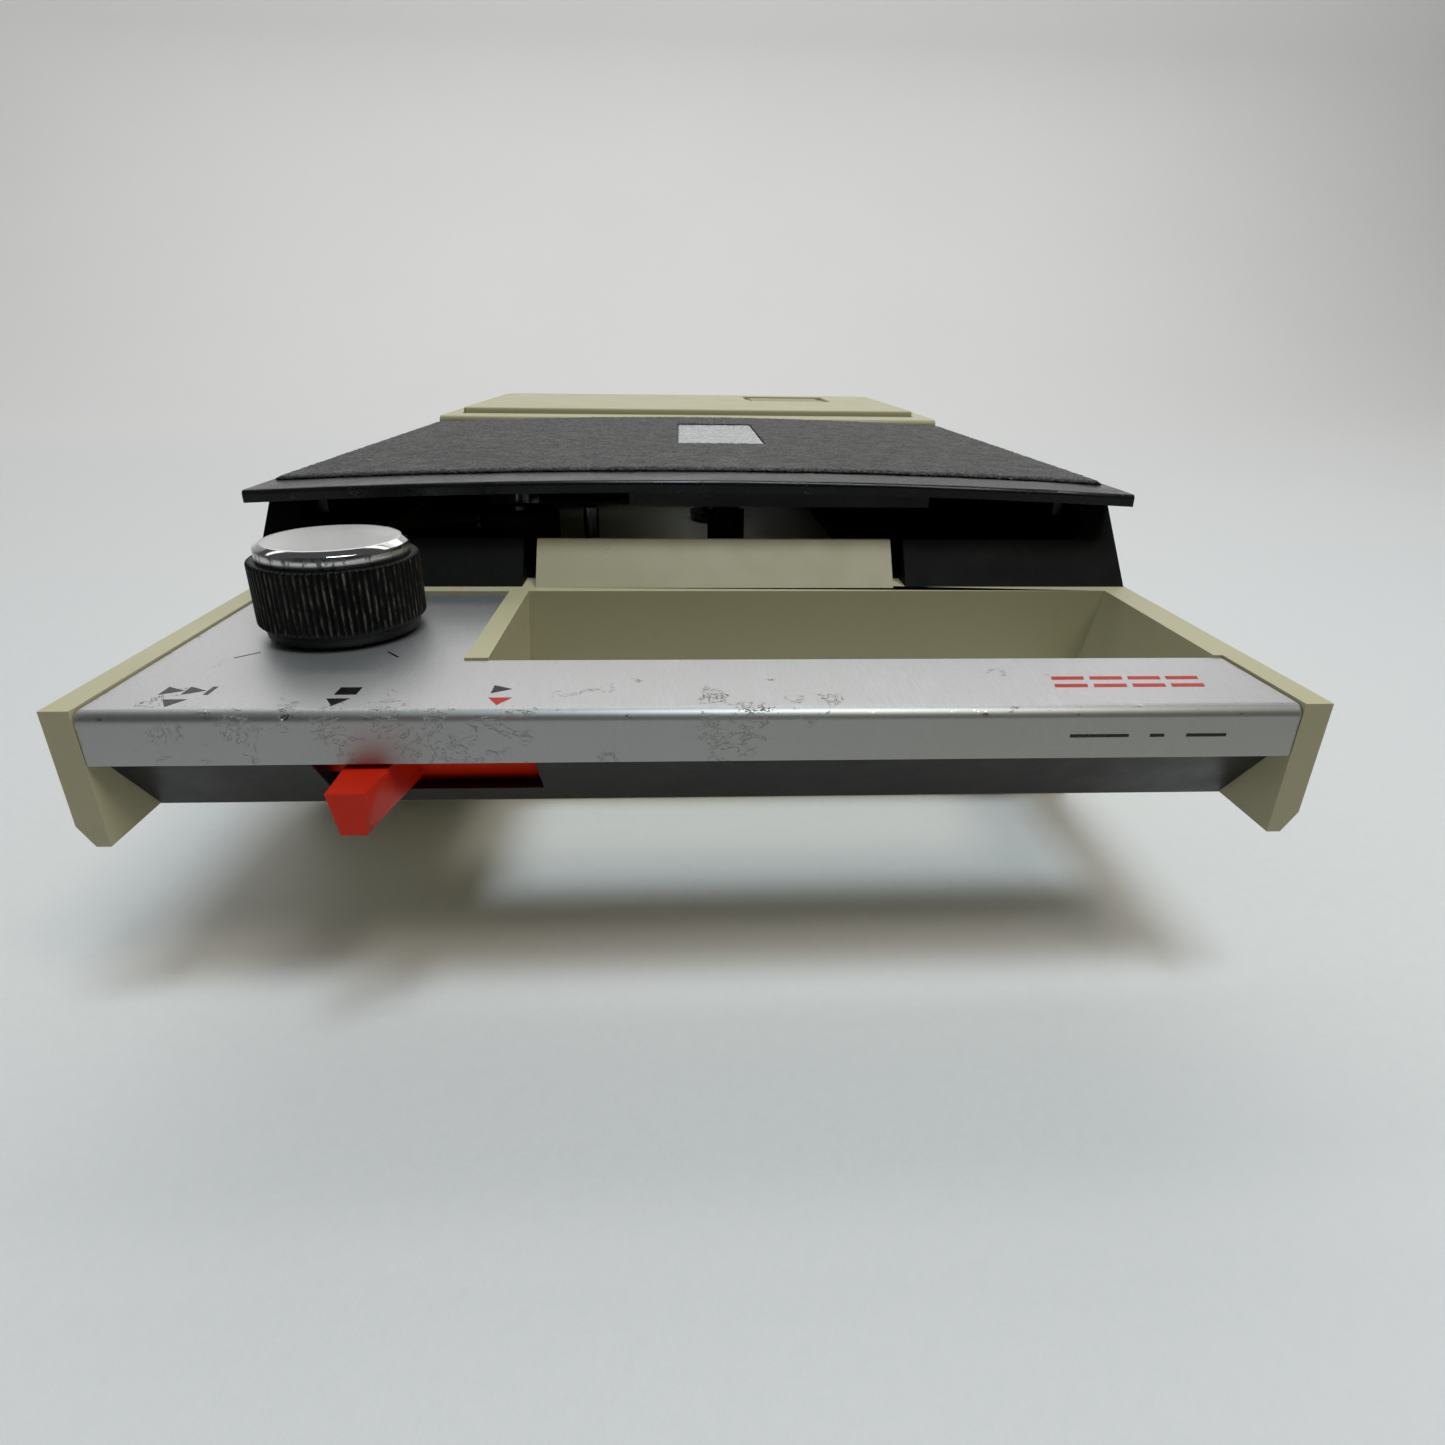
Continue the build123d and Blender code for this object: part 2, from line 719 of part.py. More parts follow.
# Deck plate, with clearance for everything that passes through it
bush_radius = 3.0
with BuildPart() as deck_plate:
    with BuildSketch(Plane.XY.offset(deck_low)):
        deck_front = tub_inner_front + 2.3
        deck_rear = front + frame_end - 1.0
        with Locations((0, (deck_front + deck_rear) / 2)):
            Rectangle(body_width - 2 * wall - 1.0, deck_rear - deck_front)
        with Locations(takeup, supply, capstan_xy):
            Circle(bush_radius, mode=Mode.SUBTRACT)
        with Locations((pivot_x - head_offset, pivot[1] - drive_arm)):
            SlotOverall(head_travel + 5.0, 3.6, mode=Mode.SUBTRACT)
        with Locations(*deck_posts):
            Circle(screw_radius, mode=Mode.SUBTRACT)
    extrude(amount=deck_thickness)
    for x, y in guide_places:
        post(x, y, deck_top, plate_high + 1.0, pivot_radius)
        post(x, y, plate_high + 0.3, plate_high + 1.0, pivot_radius + 1.4)
keep(deck_plate, "deck_plate")

# Where the idler touches both the flywheel's hub and the take-up disc
to_hub = flywheel_hub + idler_radius + wheel_gap
to_disc = disc_radius + idler_radius + wheel_gap
apart = hypot(takeup[0] - capstan_xy[0], takeup[1] - capstan_xy[1])
turn = acos((to_hub**2 + apart**2 - to_disc**2) / (2 * to_hub * apart))
heading = atan2(takeup[1] - capstan_xy[1], takeup[0] - capstan_xy[0]) + turn
idler_xy = (capstan_xy[0] + to_hub * cos(heading), capstan_xy[1] + to_hub * sin(heading))

with BuildPart() as pivot_studs:
    post(*pivot, transfer_low - 0.3, deck_low, pivot_radius)
    post(*pivot, transfer_low + sheet + 0.3, deck_low, pivot_radius + 1.5)
    post(*idler_xy, disc_low - 0.8, deck_low, 1.0)
keep(pivot_studs, "pivot_studs")

with BuildPart() as deck_bushes:
    for place, shaft in (
        (takeup, spindle_shaft), (supply, spindle_shaft), (capstan_xy, capstan_radius),
    ):
        post(*place, deck_low - 0.5, deck_top + 0.3, bush_radius)
        post(*place, deck_low - 0.5, deck_top + 0.3, shaft + running, Mode.SUBTRACT)
keep(deck_bushes, "deck_bushes")

# Spindles stand up through the shelf; each has a disc under the deck
spindle_foot = deck_top + 0.6
spindle_top = deck_top + spindle_height
for label, place in (("takeup", takeup), ("supply", supply)):
    with BuildPart() as spindle:
        post(*place, disc_low, spindle_foot, spindle_shaft)
        post(*place, spindle_foot, spindle_foot + flange_height, spindle_flange)
        post(*place, spindle_foot, spindle_top, spindle_radius)
        with Locations(Location((*place, spindle_foot + flange_height))):
            with PolarLocations(spindle_radius, 6):
                Box(2 * spindle_rib, 0.9, spindle_top - spindle_foot - flange_height - 1.5,
                    align=(Align.CENTER, Align.CENTER, Align.MIN))
        chamfer(spindle.edges().group_by(Axis.Z)[-1], 1.2)
    keep(spindle, f"{label}_spindle")

    with BuildPart() as disc:
        post(*place, disc_low, disc_low + disc_thickness, disc_radius)
        post(*place, disc_low, disc_low + disc_thickness, spindle_shaft, Mode.SUBTRACT)
    keep(disc, f"{label}_disc")

with BuildPart() as idler_wheel:
    post(*idler_xy, disc_low + 0.1, disc_low + disc_thickness - 0.1, idler_radius)
    post(*idler_xy, disc_low, disc_low + disc_thickness, 1.0 + running, Mode.SUBTRACT)
keep(idler_wheel, "idler_wheel")

# Flywheel with the belt groove, and the capstan pressed into it
belt_z = flywheel_low + flywheel_thickness / 2
groove_depth = 1.0
with BuildPart() as flywheel:
    post(*capstan_xy, flywheel_low, flywheel_low + flywheel_thickness, flywheel_radius)
    fillet(flywheel.edges(), 0.6)
    post(*capstan_xy, flywheel_low + flywheel_thickness, disc_low + disc_thickness, flywheel_hub)
    with Locations((*capstan_xy, belt_z)):
        Cylinder(flywheel_radius, belt_width + 0.6, mode=Mode.SUBTRACT)
        Cylinder(flywheel_radius - groove_depth, belt_width + 0.6)
    post(*capstan_xy, flywheel_low, disc_low + disc_thickness, capstan_radius, Mode.SUBTRACT)
keep(flywheel, "flywheel")

bridge_low = flywheel_low - 4.0
with BuildPart() as capstan:
    post(*capstan_xy, bridge_low + sheet + 0.3, spindle_top + 1.0, capstan_radius)
    chamfer(capstan.edges().group_by(Axis.Z)[-1], 0.4)
keep(capstan, "capstan")

bridge_left = capstan_xy[0] - flywheel_radius - 2.6 - sheet
with BuildPart() as flywheel_bridge:
    slab(bridge_left, capstan_xy[0] + 5.0, capstan_xy[1] - 6.0, capstan_xy[1] + 6.0,
         bridge_low, bridge_low + sheet)
    slab(bridge_left, bridge_left + sheet, capstan_xy[1] - 6.0, capstan_xy[1] + 6.0,
         bridge_low, deck_low)
keep(flywheel_bridge, "flywheel_bridge")

# Motor, its bracket and pulley, and the belt round pulley and flywheel
motor_xy = (motor_x, capstan_xy[1])
motor_low = floor_top + 0.8
motor_high = motor_low + motor_height
with BuildPart() as motor:
    post(*motor_xy, motor_low, motor_high, motor_radius)
    fillet(motor.edges().group_by(Axis.Z)[0], 2.0)
    post(*motor_xy, motor_high - 6.0, motor_high, 1.2, Mode.SUBTRACT)
keep(motor, "motor")

bracket_right = motor_x + motor_radius + 4.0
with BuildPart() as motor_bracket:
    slab(motor_x - motor_radius, bracket_right, motor_xy[1] - 8.0, motor_xy[1] + 8.0,
         motor_high, motor_high + sheet)
    slab(bracket_right - sheet, bracket_right, motor_xy[1] - 8.0, motor_xy[1] + 8.0,
         motor_high, deck_low)
    post(*motor_xy, motor_high, motor_high + sheet, 3.0, Mode.SUBTRACT)
keep(motor_bracket, "motor_bracket")

with BuildPart() as motor_pulley:
    post(*motor_xy, motor_high - 5.0, belt_z + 3.0, 1.0)
    post(*motor_xy, belt_z - 2.3, belt_z + 2.3, pulley_radius + 1.0)
    with Locations((*motor_xy, belt_z)):
        Cylinder(pulley_radius + 1.0, belt_width + 0.6, mode=Mode.SUBTRACT)
        Cylinder(pulley_radius, belt_width + 0.6)
keep(motor_pulley, "motor_pulley")

groove_radius = flywheel_radius - groove_depth + wheel_gap
track_radius = pulley_radius + wheel_gap
with BuildPart() as drive_belt:
    with BuildSketch(Plane.XY.offset(belt_z - belt_width / 2)):
        with Locations(capstan_xy):
            Circle(groove_radius + belt_thickness)
        with Locations(motor_xy):
            Circle(track_radius + belt_thickness)
        make_hull()
    extrude(amount=belt_width)
    with BuildSketch(Plane.XY.offset(belt_z - belt_width / 2)):
        with Locations(capstan_xy):
            Circle(groove_radius)
        with Locations(motor_xy):
            Circle(track_radius)
        make_hull()
    extrude(amount=belt_width, mode=Mode.SUBTRACT)
keep(drive_belt, "drive_belt")


# ======== volume control ========

knob_xy = (knob_x, front + knob_y)
foot_low = plate_top + knob_gap
skirt_low = foot_low + knob_foot
skirt_top = skirt_low + knob_height
flutes = 80
with BuildPart() as volume_knob:
    post(*knob_xy, foot_low, skirt_low, knob_foot_radius)
    post(*knob_xy, skirt_low, skirt_top, knob_radius)
    with Locations(Location((*knob_xy, skirt_low))):
        with PolarLocations(knob_radius, flutes):
            Cylinder(0.17, knob_height, mode=Mode.SUBTRACT,
                     align=(Align.CENTER, Align.CENTER, Align.MIN))
    post(*knob_xy, foot_low, skirt_top - 1.5, shaft_radius, Mode.SUBTRACT)
keep(volume_knob, "volume_knob")

with BuildPart() as knob_cap:
    post(*knob_xy, skirt_top, skirt_top + cap_height, cap_radius)
    chamfer(knob_cap.edges().group_by(Axis.Z)[-1], 0.9, 0.5)
keep(knob_cap, "knob_cap")

pot_high = support_low
pot_low = transfer_low + sheet + 0.5
with BuildPart() as knob_shaft:
    post(*knob_xy, pot_high - 4.0, skirt_top - 1.5, shaft_radius)
keep(knob_shaft, "knob_shaft")

with BuildPart() as potentiometer:
    post(*knob_xy, pot_low, pot_high, pot_radius)
    post(*knob_xy, pot_high, support_top, pot_bush)
    post(*knob_xy, pot_high - 4.3, support_top, shaft_radius + running, Mode.SUBTRACT)
    slab(knob_xy[0] - 5.0, knob_xy[0] + 5.0, knob_xy[1] + pot_radius - 1.0,
         knob_xy[1] + pot_radius + 3.0, pot_low, pot_low + 1.0)
keep(potentiometer, "potentiometer")


# ======== lid ========


crown_radius = (lid_half_width**2 + lid_crown**2) / (2 * lid_crown)


def crown_arc(edge_x, edge_z):
    """End and middle points of the lid's crown, edge_z being its height at the lid's edge."""
    fall = crown_radius - sqrt(crown_radius**2 - edge_x**2)
    base = edge_z + lid_crown - fall
    return (-edge_x, base), (0, edge_z + lid_crown), (edge_x, base)


window_mid = (window_left + window_width / 2, front + window_start + window_length / 2)
lid_length = lid_end - lid_start
with BuildPart() as lid_frame:
    with BuildSketch(Plane.XZ.offset(-(front + lid_start))):
        with BuildLine():
            low = crown_arc(lid_half_width, lid_under)
            high = crown_arc(lid_half_width, lid_top)
            ThreePointArc(*low)
            Line(low[2], high[2])
            ThreePointArc(*high)
            Line(high[0], low[0])
        make_face()
    extrude(amount=-lid_length)
    fillet(lid_frame.edges().group_by(Axis.Y)[0].sort_by(Axis.Z)[-1], 0.6)
    # ribs underneath
    for side in (-1, 1):
        x = side * (inner_side - 2.0)
        slab(x - 0.7, x + 0.7, front + 56.0, front + 144.0, lid_under - 3.0, lid_under + 0.6)
    slab(-10.0, 34.0, front + 50.0, front + 51.4, lid_under - 0.9, lid_under + 1.8)
    # window opening and the notches round the frame's knuckles
    slab(window_left, window_left + window_width, front + window_start,
         front + window_start + window_length, lid_under, lid_top + lid_crown, Mode.SUBTRACT)
    for side in (-1, 1):
        x = side * (hinge_inner + knuckle * 1.5 + lid_gap)
        slab(x - knuckle / 2 - lid_gap, x + knuckle / 2 + lid_gap,
             hinge_y - hinge_radius - lid_gap, hinge_y, lid_under - 1.0,
             lid_top + lid_crown, Mode.SUBTRACT)
        x = side * (hinge_inner + knuckle / 2)
        with Locations(Location((x, hinge_y, hinge_z), (0, 90, 0))):
            Cylinder(hinge_radius, knuckle)
            Cylinder(hinge_pin_radius, knuckle, mode=Mode.SUBTRACT)
keep(lid_frame, "lid_frame")

with BuildPart() as lid_panel:
    with BuildSketch(Plane.XZ.offset(-(front + panel_start))):
        with BuildLine():
            low = crown_arc(lid_panel_edge, lid_top)
            high = crown_arc(lid_panel_edge, lid_top + lid_panel_thickness)
            ThreePointArc(*low)
            Line(low[2], high[2])
            ThreePointArc(*high)
            Line(high[0], low[0])
        make_face()
    extrude(amount=-(panel_end - panel_start))
    slab(window_left, window_left + window_width, front + window_start,
         front + window_start + window_length, lid_top, lid_top + lid_crown + 1.0,
         Mode.SUBTRACT)
    for side in (-1, 1):
        x = side * (hinge_inner + knuckle * 1.5 + lid_gap)
        slab(x - knuckle / 2 - lid_gap, x + knuckle / 2 + lid_gap,
             hinge_y - hinge_radius - lid_gap, hinge_y, lid_top,
             lid_top + lid_crown + 1.0, Mode.SUBTRACT)
keep(lid_panel, "lid_panel")

window_top = lid_top + lid_crown + lid_panel_thickness - 0.3
with BuildPart() as lid_window:
    slab(window_left, window_left + window_width, front + window_start,
         front + window_start + window_length, window_top - window_thickness, window_top)
    chamfer(lid_window.faces().sort_by(Axis.Z)[-1].edges(), 0.3)
keep(lid_window, "lid_window")

with BuildPart() as hinge_pins:
    for side in (-1, 1):
        x = side * (hinge_inner + knuckle + lid_gap / 2)
        with Locations(Location((x, hinge_y, hinge_z), (0, 90, 0))):
            Cylinder(hinge_pin_radius, 2 * knuckle + lid_gap)
keep(hinge_pins, "hinge_pins")

# Two leaf springs under the lid hold the cassette down
with BuildPart() as cassette_springs:
    for x in (hub_line - 24.0, hub_line + 20.0):
        with BuildSketch(Plane.YZ.offset(x - 3.0)):
            with BuildLine():
                y0 = hub_middle - 26.0
                y1 = hub_middle + 26.0
                z0 = lid_under + 0.9
                Polyline(
                    (y0, z0), (y0 + 8.0, z0), (hub_middle - 6.0, z0 - 2.6),
                    (hub_middle + 6.0, z0 - 2.6), (y1 - 8.0, z0), (y1, z0),
                    (y1, z0 - 0.4), (y1 - 8.1, z0 - 0.4), (hub_middle + 6.1, z0 - 3.0),
                    (hub_middle - 6.1, z0 - 3.0), (y0 + 8.1, z0 - 0.4), (y0, z0 - 0.4),
                    close=True,
                )
            make_face()
        extrude(amount=6.0)
keep(cassette_springs, "cassette_springs")


# ======== batteries, loudspeaker, amplifier and sockets ========

tray_front = front + rear_start + wall + 5.5
tray_rear = rear - wall - 1.0
tray_side = cell_length + 6.0
tray_high = seat_z - support
with BuildPart() as battery_tray:
    slab(-tray_side, tray_side, tray_front, tray_rear, tray_low, tray_high)
    fillet(battery_tray.edges().filter_by(Axis.Z), 2.0)
    slab(tray_wall - tray_side, tray_side - tray_wall, tray_front + tray_wall,
         tray_rear - tray_wall, tray_low + tray_wall, tray_high, Mode.SUBTRACT)
keep(battery_tray, "battery_tray")

cell_z = tray_low + tray_wall + cell_radius
row_pitch = 2 * cell_radius + cell_gap
tray_middle = (tray_front + tray_rear) / 2
cell_rows = (tray_middle - row_pitch / 2, tray_middle + row_pitch / 2)
cell_number = 0
for row, y in enumerate(cell_rows):
    facing = 1 if row == 0 else -1
    for side in (-1, 1):
        cell_number += 1
        with BuildPart() as cell:
            x = side * (cell_length / 2 + 0.3)
            with Locations(Location((x - facing * 1.0, y, cell_z), (0, 90, 0))):
                Cylinder(cell_radius, cell_length - 2.0)
            fillet(cell.edges(), 0.8)
            with Locations(Location((x + facing * (cell_length / 2 - 1.0), y, cell_z), (0, 90, 0))):
                Cylinder(3.2, 2.0)
        keep(cell, f"battery_cell_{cell_number}")

with BuildPart() as battery_contacts:
    inner = tray_side - tray_wall
    for side in (-1, 1):
        for row, y in enumerate(cell_rows):
            slab(*sorted((side * inner, side * (inner - 0.5))), y - 8.0, y + 8.0,
                 cell_z - 8.0, cell_z + 8.0)
            reach = inner - 0.5 - cell_length - 0.7
            with Locations(Location((side * (inner - 0.5), y, cell_z), (0, -side * 90, 0))):
                Cone(5.5, 3.0, reach, align=(Align.CENTER, Align.CENTER, Align.MIN))
keep(battery_contacts, "battery_contacts")

# Loudspeaker facing the slots in the bottom
throat = 13.0
with BuildPart() as speaker_basket:
    with BuildSketch(Plane.XZ.offset(-(front + speaker_y))):
        with BuildLine():
            Polyline(
                (speaker_radius - 3.5, floor_top),
                (speaker_radius, floor_top),
                (speaker_radius, floor_top + 1.2),
                (speaker_radius - 3.0, floor_top + 1.2),
                (throat + 1.2, floor_top + 10.0),
                (throat, floor_top + 10.0),
                (throat, floor_top + 9.0),
                close=True,
            )
        make_face()
    revolve(axis=Axis((0, front + speaker_y, 0), (0, 0, 1)))
keep(speaker_basket, "speaker_basket")

with BuildPart() as speaker_cone:
    with BuildSketch(Plane.XZ.offset(-(front + speaker_y))):
        with BuildLine():
            Polyline(
                (0, floor_top + 6.6),
                (6.0, floor_top + 5.8),
                (speaker_radius - 5.6, floor_top + 0.3),
                (speaker_radius - 4.4, floor_top + 0.3),
                (6.4, floor_top + 6.8),
                (0, floor_top + 7.4),
                close=True,
            )
        make_face()
    revolve(axis=Axis((0, front + speaker_y, 0), (0, 0, 1)))
keep(speaker_cone, "speaker_cone")

with BuildPart() as speaker_magnet:
    post(0, front + speaker_y, floor_top + 10.0, tray_low - 1.0, throat + 3.0)
    fillet(speaker_magnet.edges().group_by(Axis.Z)[-1], 1.0)
keep(speaker_magnet, "speaker_magnet")

board_high = board_low + board_thickness
with BuildPart() as amplifier_board:
    slab(*board_x, *board_y, board_low, board_high)
    for x, y in board_pegs:
        post(x, y, board_low, board_high, screw_radius, Mode.SUBTRACT)
keep(amplifier_board, "amplifier_board")

core_height = 12.0
core_centre = (board_right - 13.0, board_y[0] + 18.0)
with BuildPart() as output_transformer:
    slab(core_centre[0] - 9.0, core_centre[0] + 9.0, core_centre[1] - 8.0, core_centre[1] + 8.0,
         board_high, board_high + core_height)
    fillet(output_transformer.edges().filter_by(Axis.Z), 1.0)
    slab(core_centre[0] - 6.0, core_centre[0] + 6.0, core_centre[1] - 10.0,
         core_centre[1] + 10.0, board_high + 3.0, board_high + core_height - 3.0)
keep(output_transformer, "output_transformer")

with BuildPart() as board_components:
    for number in range(5):
        x = board_x[0] + 10.0 + 11.0 * number
        y = board_y[0] + 12.0 + 11.0 * (number % 2)
        post(x, y, board_high, board_high + 11.0, 3.8)
    for number in range(4):
        x = board_x[0] + 16.0 + 12.0 * number
        post(x, board_y[1] - 9.0, board_high, board_high + 7.0, 2.6)
keep(board_components, "board_components")

# Round sockets in the right side: outer shell, core and five contact holes
for label, y in zip(("output_socket", "supply_socket"), socket_places):
    with BuildPart() as socket:
        face_x = half - 0.3
        with BuildSketch(Plane.YZ.offset(face_x)):
            with Locations((y, socket_z)):
                Circle(socket_radius)
        extrude(amount=-8.0)
        with BuildSketch(Plane.YZ.offset(half - wall)):
            with Locations((y, socket_z)):
                Circle(socket_radius + 2.0)
        extrude(amount=-1.6)
        with BuildSketch(Plane.YZ.offset(face_x)):
            with Locations((y, socket_z)):
                Circle(socket_radius - 0.8)
                Circle(socket_radius - 1.8, mode=Mode.SUBTRACT)
                hole_count = 5 if label == "output_socket" else 2
                with PolarLocations(3.3, hole_count, start_angle=90):
                    Circle(0.8)
        extrude(amount=-5.0, mode=Mode.SUBTRACT)
    keep(socket, label)

# Rubber feet and screws
foot_places = [
    (side * (half - foot_inset), front + along)
    for side in (-1, 1)
    for along in (foot_start, foot_end)
]
with BuildPart() as rubber_feet:
    for x, y in foot_places:
        post(x, y, 0, foot_height, foot_radius)
    fillet(rubber_feet.edges().group_by(Axis.Z)[0], 0.5)
keep(rubber_feet, "rubber_feet")

slot_depth = 0.6
with BuildPart() as case_screws:
    for x, y in posts:
        post(x, y, screw_seat - screw_head_height, screw_seat, screw_head)
        post(x, y, screw_seat, screw_top, screw_radius)
        slab(x - screw_head, x + screw_head, y - 0.4, y + 0.4,
             screw_seat - screw_head_height, screw_seat - screw_head_height + slot_depth,
             Mode.SUBTRACT)
keep(case_screws, "case_screws")

with BuildPart() as board_screws:
    for x, y in board_pegs:
        post(x, y, board_high, board_high + screw_head_height, screw_head)
        post(x, y, floor_top + 1.0, board_high, screw_radius)
        slab(x - screw_head, x + screw_head, y - 0.4, y + 0.4,
             board_high + screw_head_height - slot_depth, board_high + screw_head_height,
             Mode.SUBTRACT)
keep(board_screws, "board_screws")

# Joint axes, travels and ratios, for the record
print(len(finished), "sub-parts written")
print("lid hinge:", (hinge_y, hinge_z), "opens", lid_opening, "degrees")
print("battery cover slides", cover_travel, "mm to the rear")
print("lever slides", -lever_back, "to", lever_play, "mm")
print("transfer lever turns about", pivot, "by", 1 / arm_length, "radians per mm of lever")
print("head plate moves", head_ratio, "mm per mm of lever")
print("pinch arm turns about", arm_pivot, "and its roller about", roller_xy)
print("volume knob turns about", knob_xy)
print("spindles turn about", takeup, "and", supply, "the idler about", idler_xy)
print("flywheel turns about", capstan_xy, "and the motor about", motor_xy)
print("idler ratio", -flywheel_hub / idler_radius, "take-up ratio", flywheel_hub / disc_radius)
print("motor ratio", (flywheel_radius - groove_depth) / pulley_radius)
print("middle of the hubs", hub_middle, "feet", foot_places, "sockets", socket_places)
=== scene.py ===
import json
import math

import bpy
import numpy as np
from mathutils import Matrix, Vector, noise


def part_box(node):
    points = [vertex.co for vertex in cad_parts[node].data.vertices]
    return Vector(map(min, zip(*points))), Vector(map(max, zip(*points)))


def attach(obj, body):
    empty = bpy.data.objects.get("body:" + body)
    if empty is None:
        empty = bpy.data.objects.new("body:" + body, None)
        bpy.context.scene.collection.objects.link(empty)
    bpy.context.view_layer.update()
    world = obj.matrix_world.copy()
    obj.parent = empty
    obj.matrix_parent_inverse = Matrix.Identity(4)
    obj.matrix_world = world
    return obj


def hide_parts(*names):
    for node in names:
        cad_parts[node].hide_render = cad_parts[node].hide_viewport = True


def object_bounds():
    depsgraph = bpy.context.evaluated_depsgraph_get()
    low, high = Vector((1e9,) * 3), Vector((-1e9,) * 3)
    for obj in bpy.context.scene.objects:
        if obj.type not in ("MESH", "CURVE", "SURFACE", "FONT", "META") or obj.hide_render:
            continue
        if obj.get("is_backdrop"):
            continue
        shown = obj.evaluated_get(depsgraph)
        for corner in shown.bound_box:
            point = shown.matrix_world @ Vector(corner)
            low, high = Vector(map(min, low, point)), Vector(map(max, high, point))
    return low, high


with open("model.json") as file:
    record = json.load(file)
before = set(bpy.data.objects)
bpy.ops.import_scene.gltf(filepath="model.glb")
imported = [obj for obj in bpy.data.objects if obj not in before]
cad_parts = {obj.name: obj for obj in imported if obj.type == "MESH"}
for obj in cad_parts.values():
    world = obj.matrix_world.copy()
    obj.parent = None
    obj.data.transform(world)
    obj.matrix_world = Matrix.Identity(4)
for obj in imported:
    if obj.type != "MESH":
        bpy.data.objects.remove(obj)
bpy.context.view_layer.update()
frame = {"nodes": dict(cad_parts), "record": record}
MM = 0.001


# ======== shader graphs ========


class Graph:
    """A material's node tree, with short calls for the nodes used here."""

    def __init__(self, name):
        self.material = bpy.data.materials.new(name)
        self.material.use_nodes = True
        self.tree = self.material.node_tree
        self.tree.nodes.clear()
        self.output = self.tree.nodes.new("ShaderNodeOutputMaterial")
        self.coords = self.node("ShaderNodeTexCoord").outputs["Object"]

    def node(self, kind, inputs=None, **settings):
        made = self.tree.nodes.new(kind)
        for key, value in settings.items():
            setattr(made, key, value)
        for key, value in (inputs or {}).items():
            socket = made.inputs[key]
            if isinstance(value, bpy.types.NodeSocket):
                self.tree.links.new(value, socket)
            elif isinstance(value, tuple) and len(value) == 3 and socket.type == "RGBA":
                socket.default_value = (*value, 1.0)
            else:
                socket.default_value = value
        return made

    def math(self, operation, a, b=0.0, clamp=False):
        return self.node(
            "ShaderNodeMath", {0: a, 1: b}, operation=operation, use_clamp=clamp
        ).outputs[0]

    def stretch(self, x, y, z):
        """The object's coordinates with each axis scaled."""
        return self.node(
            "ShaderNodeMapping", {"Vector": self.coords, "Scale": (x, y, z)}
        ).outputs[0]

    def noise(self, scale, detail=3.0, roughness=0.55, distortion=0.0, vector=None, lift=0.0):
        inputs = {
            "Vector": vector or self.coords, "Scale": scale, "Detail": detail,
            "Roughness": roughness, "Distortion": distortion,
        }
        made = self.node("ShaderNodeTexNoise", inputs)
        if lift:
            made.noise_dimensions = "4D"
            made.inputs["W"].default_value = lift
        return made.outputs["Fac"]

    def cells(self, scale, feature="F1", vector=None, randomness=1.0):
        made = self.node(
            "ShaderNodeTexVoronoi",
            {"Vector": vector or self.coords, "Scale": scale, "Randomness": randomness},
            feature=feature,
        )
        return made.outputs["Distance"]

    def between(self, value, low, high, to_low=0.0, to_high=1.0):
        """A smooth step of value from low to high."""
        return self.node(
            "ShaderNodeMapRange",
            {"Value": value, "From Min": low, "From Max": high, "To Min": to_low, "To Max": to_high},
            interpolation_type="SMOOTHSTEP",
        ).outputs["Result"]

    def mix(self, share, a, b):
        made = self.node("ShaderNodeMix", data_type="RGBA")
        for socket, value in ((made.inputs[0], share), (made.inputs[6], a), (made.inputs[7], b)):
            if isinstance(value, bpy.types.NodeSocket):
                self.tree.links.new(value, socket)
            elif isinstance(value, tuple):
                socket.default_value = (*value, 1.0)
            else:
                socket.default_value = value
        return made.outputs[2]

    def blend(self, share, a, b):
        made = self.node("ShaderNodeMix", data_type="FLOAT")
        for socket, value in ((made.inputs[0], share), (made.inputs[2], a), (made.inputs[3], b)):
            if isinstance(value, bpy.types.NodeSocket):
                self.tree.links.new(value, socket)
            else:
                socket.default_value = value
        return made.outputs[0]

    def bump(self, height, depth, normal=None, strength=1.0):
        inputs = {"Height": height, "Distance": depth, "Strength": strength}
        if normal is not None:
            inputs["Normal"] = normal
        return self.node("ShaderNodeBump", inputs).outputs[0]

    def facing_up(self):
        normal = self.node("ShaderNodeNewGeometry").outputs["Normal"]
        return self.node("ShaderNodeSeparateXYZ", {0: normal}).outputs[2]

    def worms(self, scale, width, cover, lift, stretched=None):
        """Thin wandering marks in clusters: 1 on a mark."""
        line = self.noise(scale, 2.0, 0.6, 1.6, stretched, lift)
        line = self.math("ABSOLUTE", self.math("SUBTRACT", line, 0.5))
        line = self.between(line, width, width * 0.35)
        patch = self.noise(scale * 0.22, 2.0, 0.6, 0.4, None, lift + 3.0)
        patch = self.between(patch, cover, cover + 0.05)
        broken = self.noise(scale * 1.3, 1.0, 0.5, 0.0, None, lift + 7.0)
        broken = self.between(broken, 0.47, 0.53)
        return self.math("MULTIPLY", self.math("MULTIPLY", line, patch), broken)

    def finish(self, **inputs):
        names = {
            "colour": "Base Color", "roughness": "Roughness", "metallic": "Metallic",
            "normal": "Normal", "ior": "IOR", "transmission": "Transmission Weight",
            "specular": "Specular IOR Level", "coat": "Coat Weight",
            "coat_roughness": "Coat Roughness", "anisotropic": "Anisotropic",
            "tangent": "Tangent", "scatter": "Subsurface Weight",
            "scatter_scale": "Subsurface Scale", "sheen": "Sheen Weight",
        }
        shader = self.node(
            "ShaderNodeBsdfPrincipled", {names[key]: value for key, value in inputs.items()}
        )
        self.tree.links.new(shader.outputs[0], self.output.inputs["Surface"])
        return self.material


def shade(colour, factor):
    return tuple(channel * factor for channel in colour)


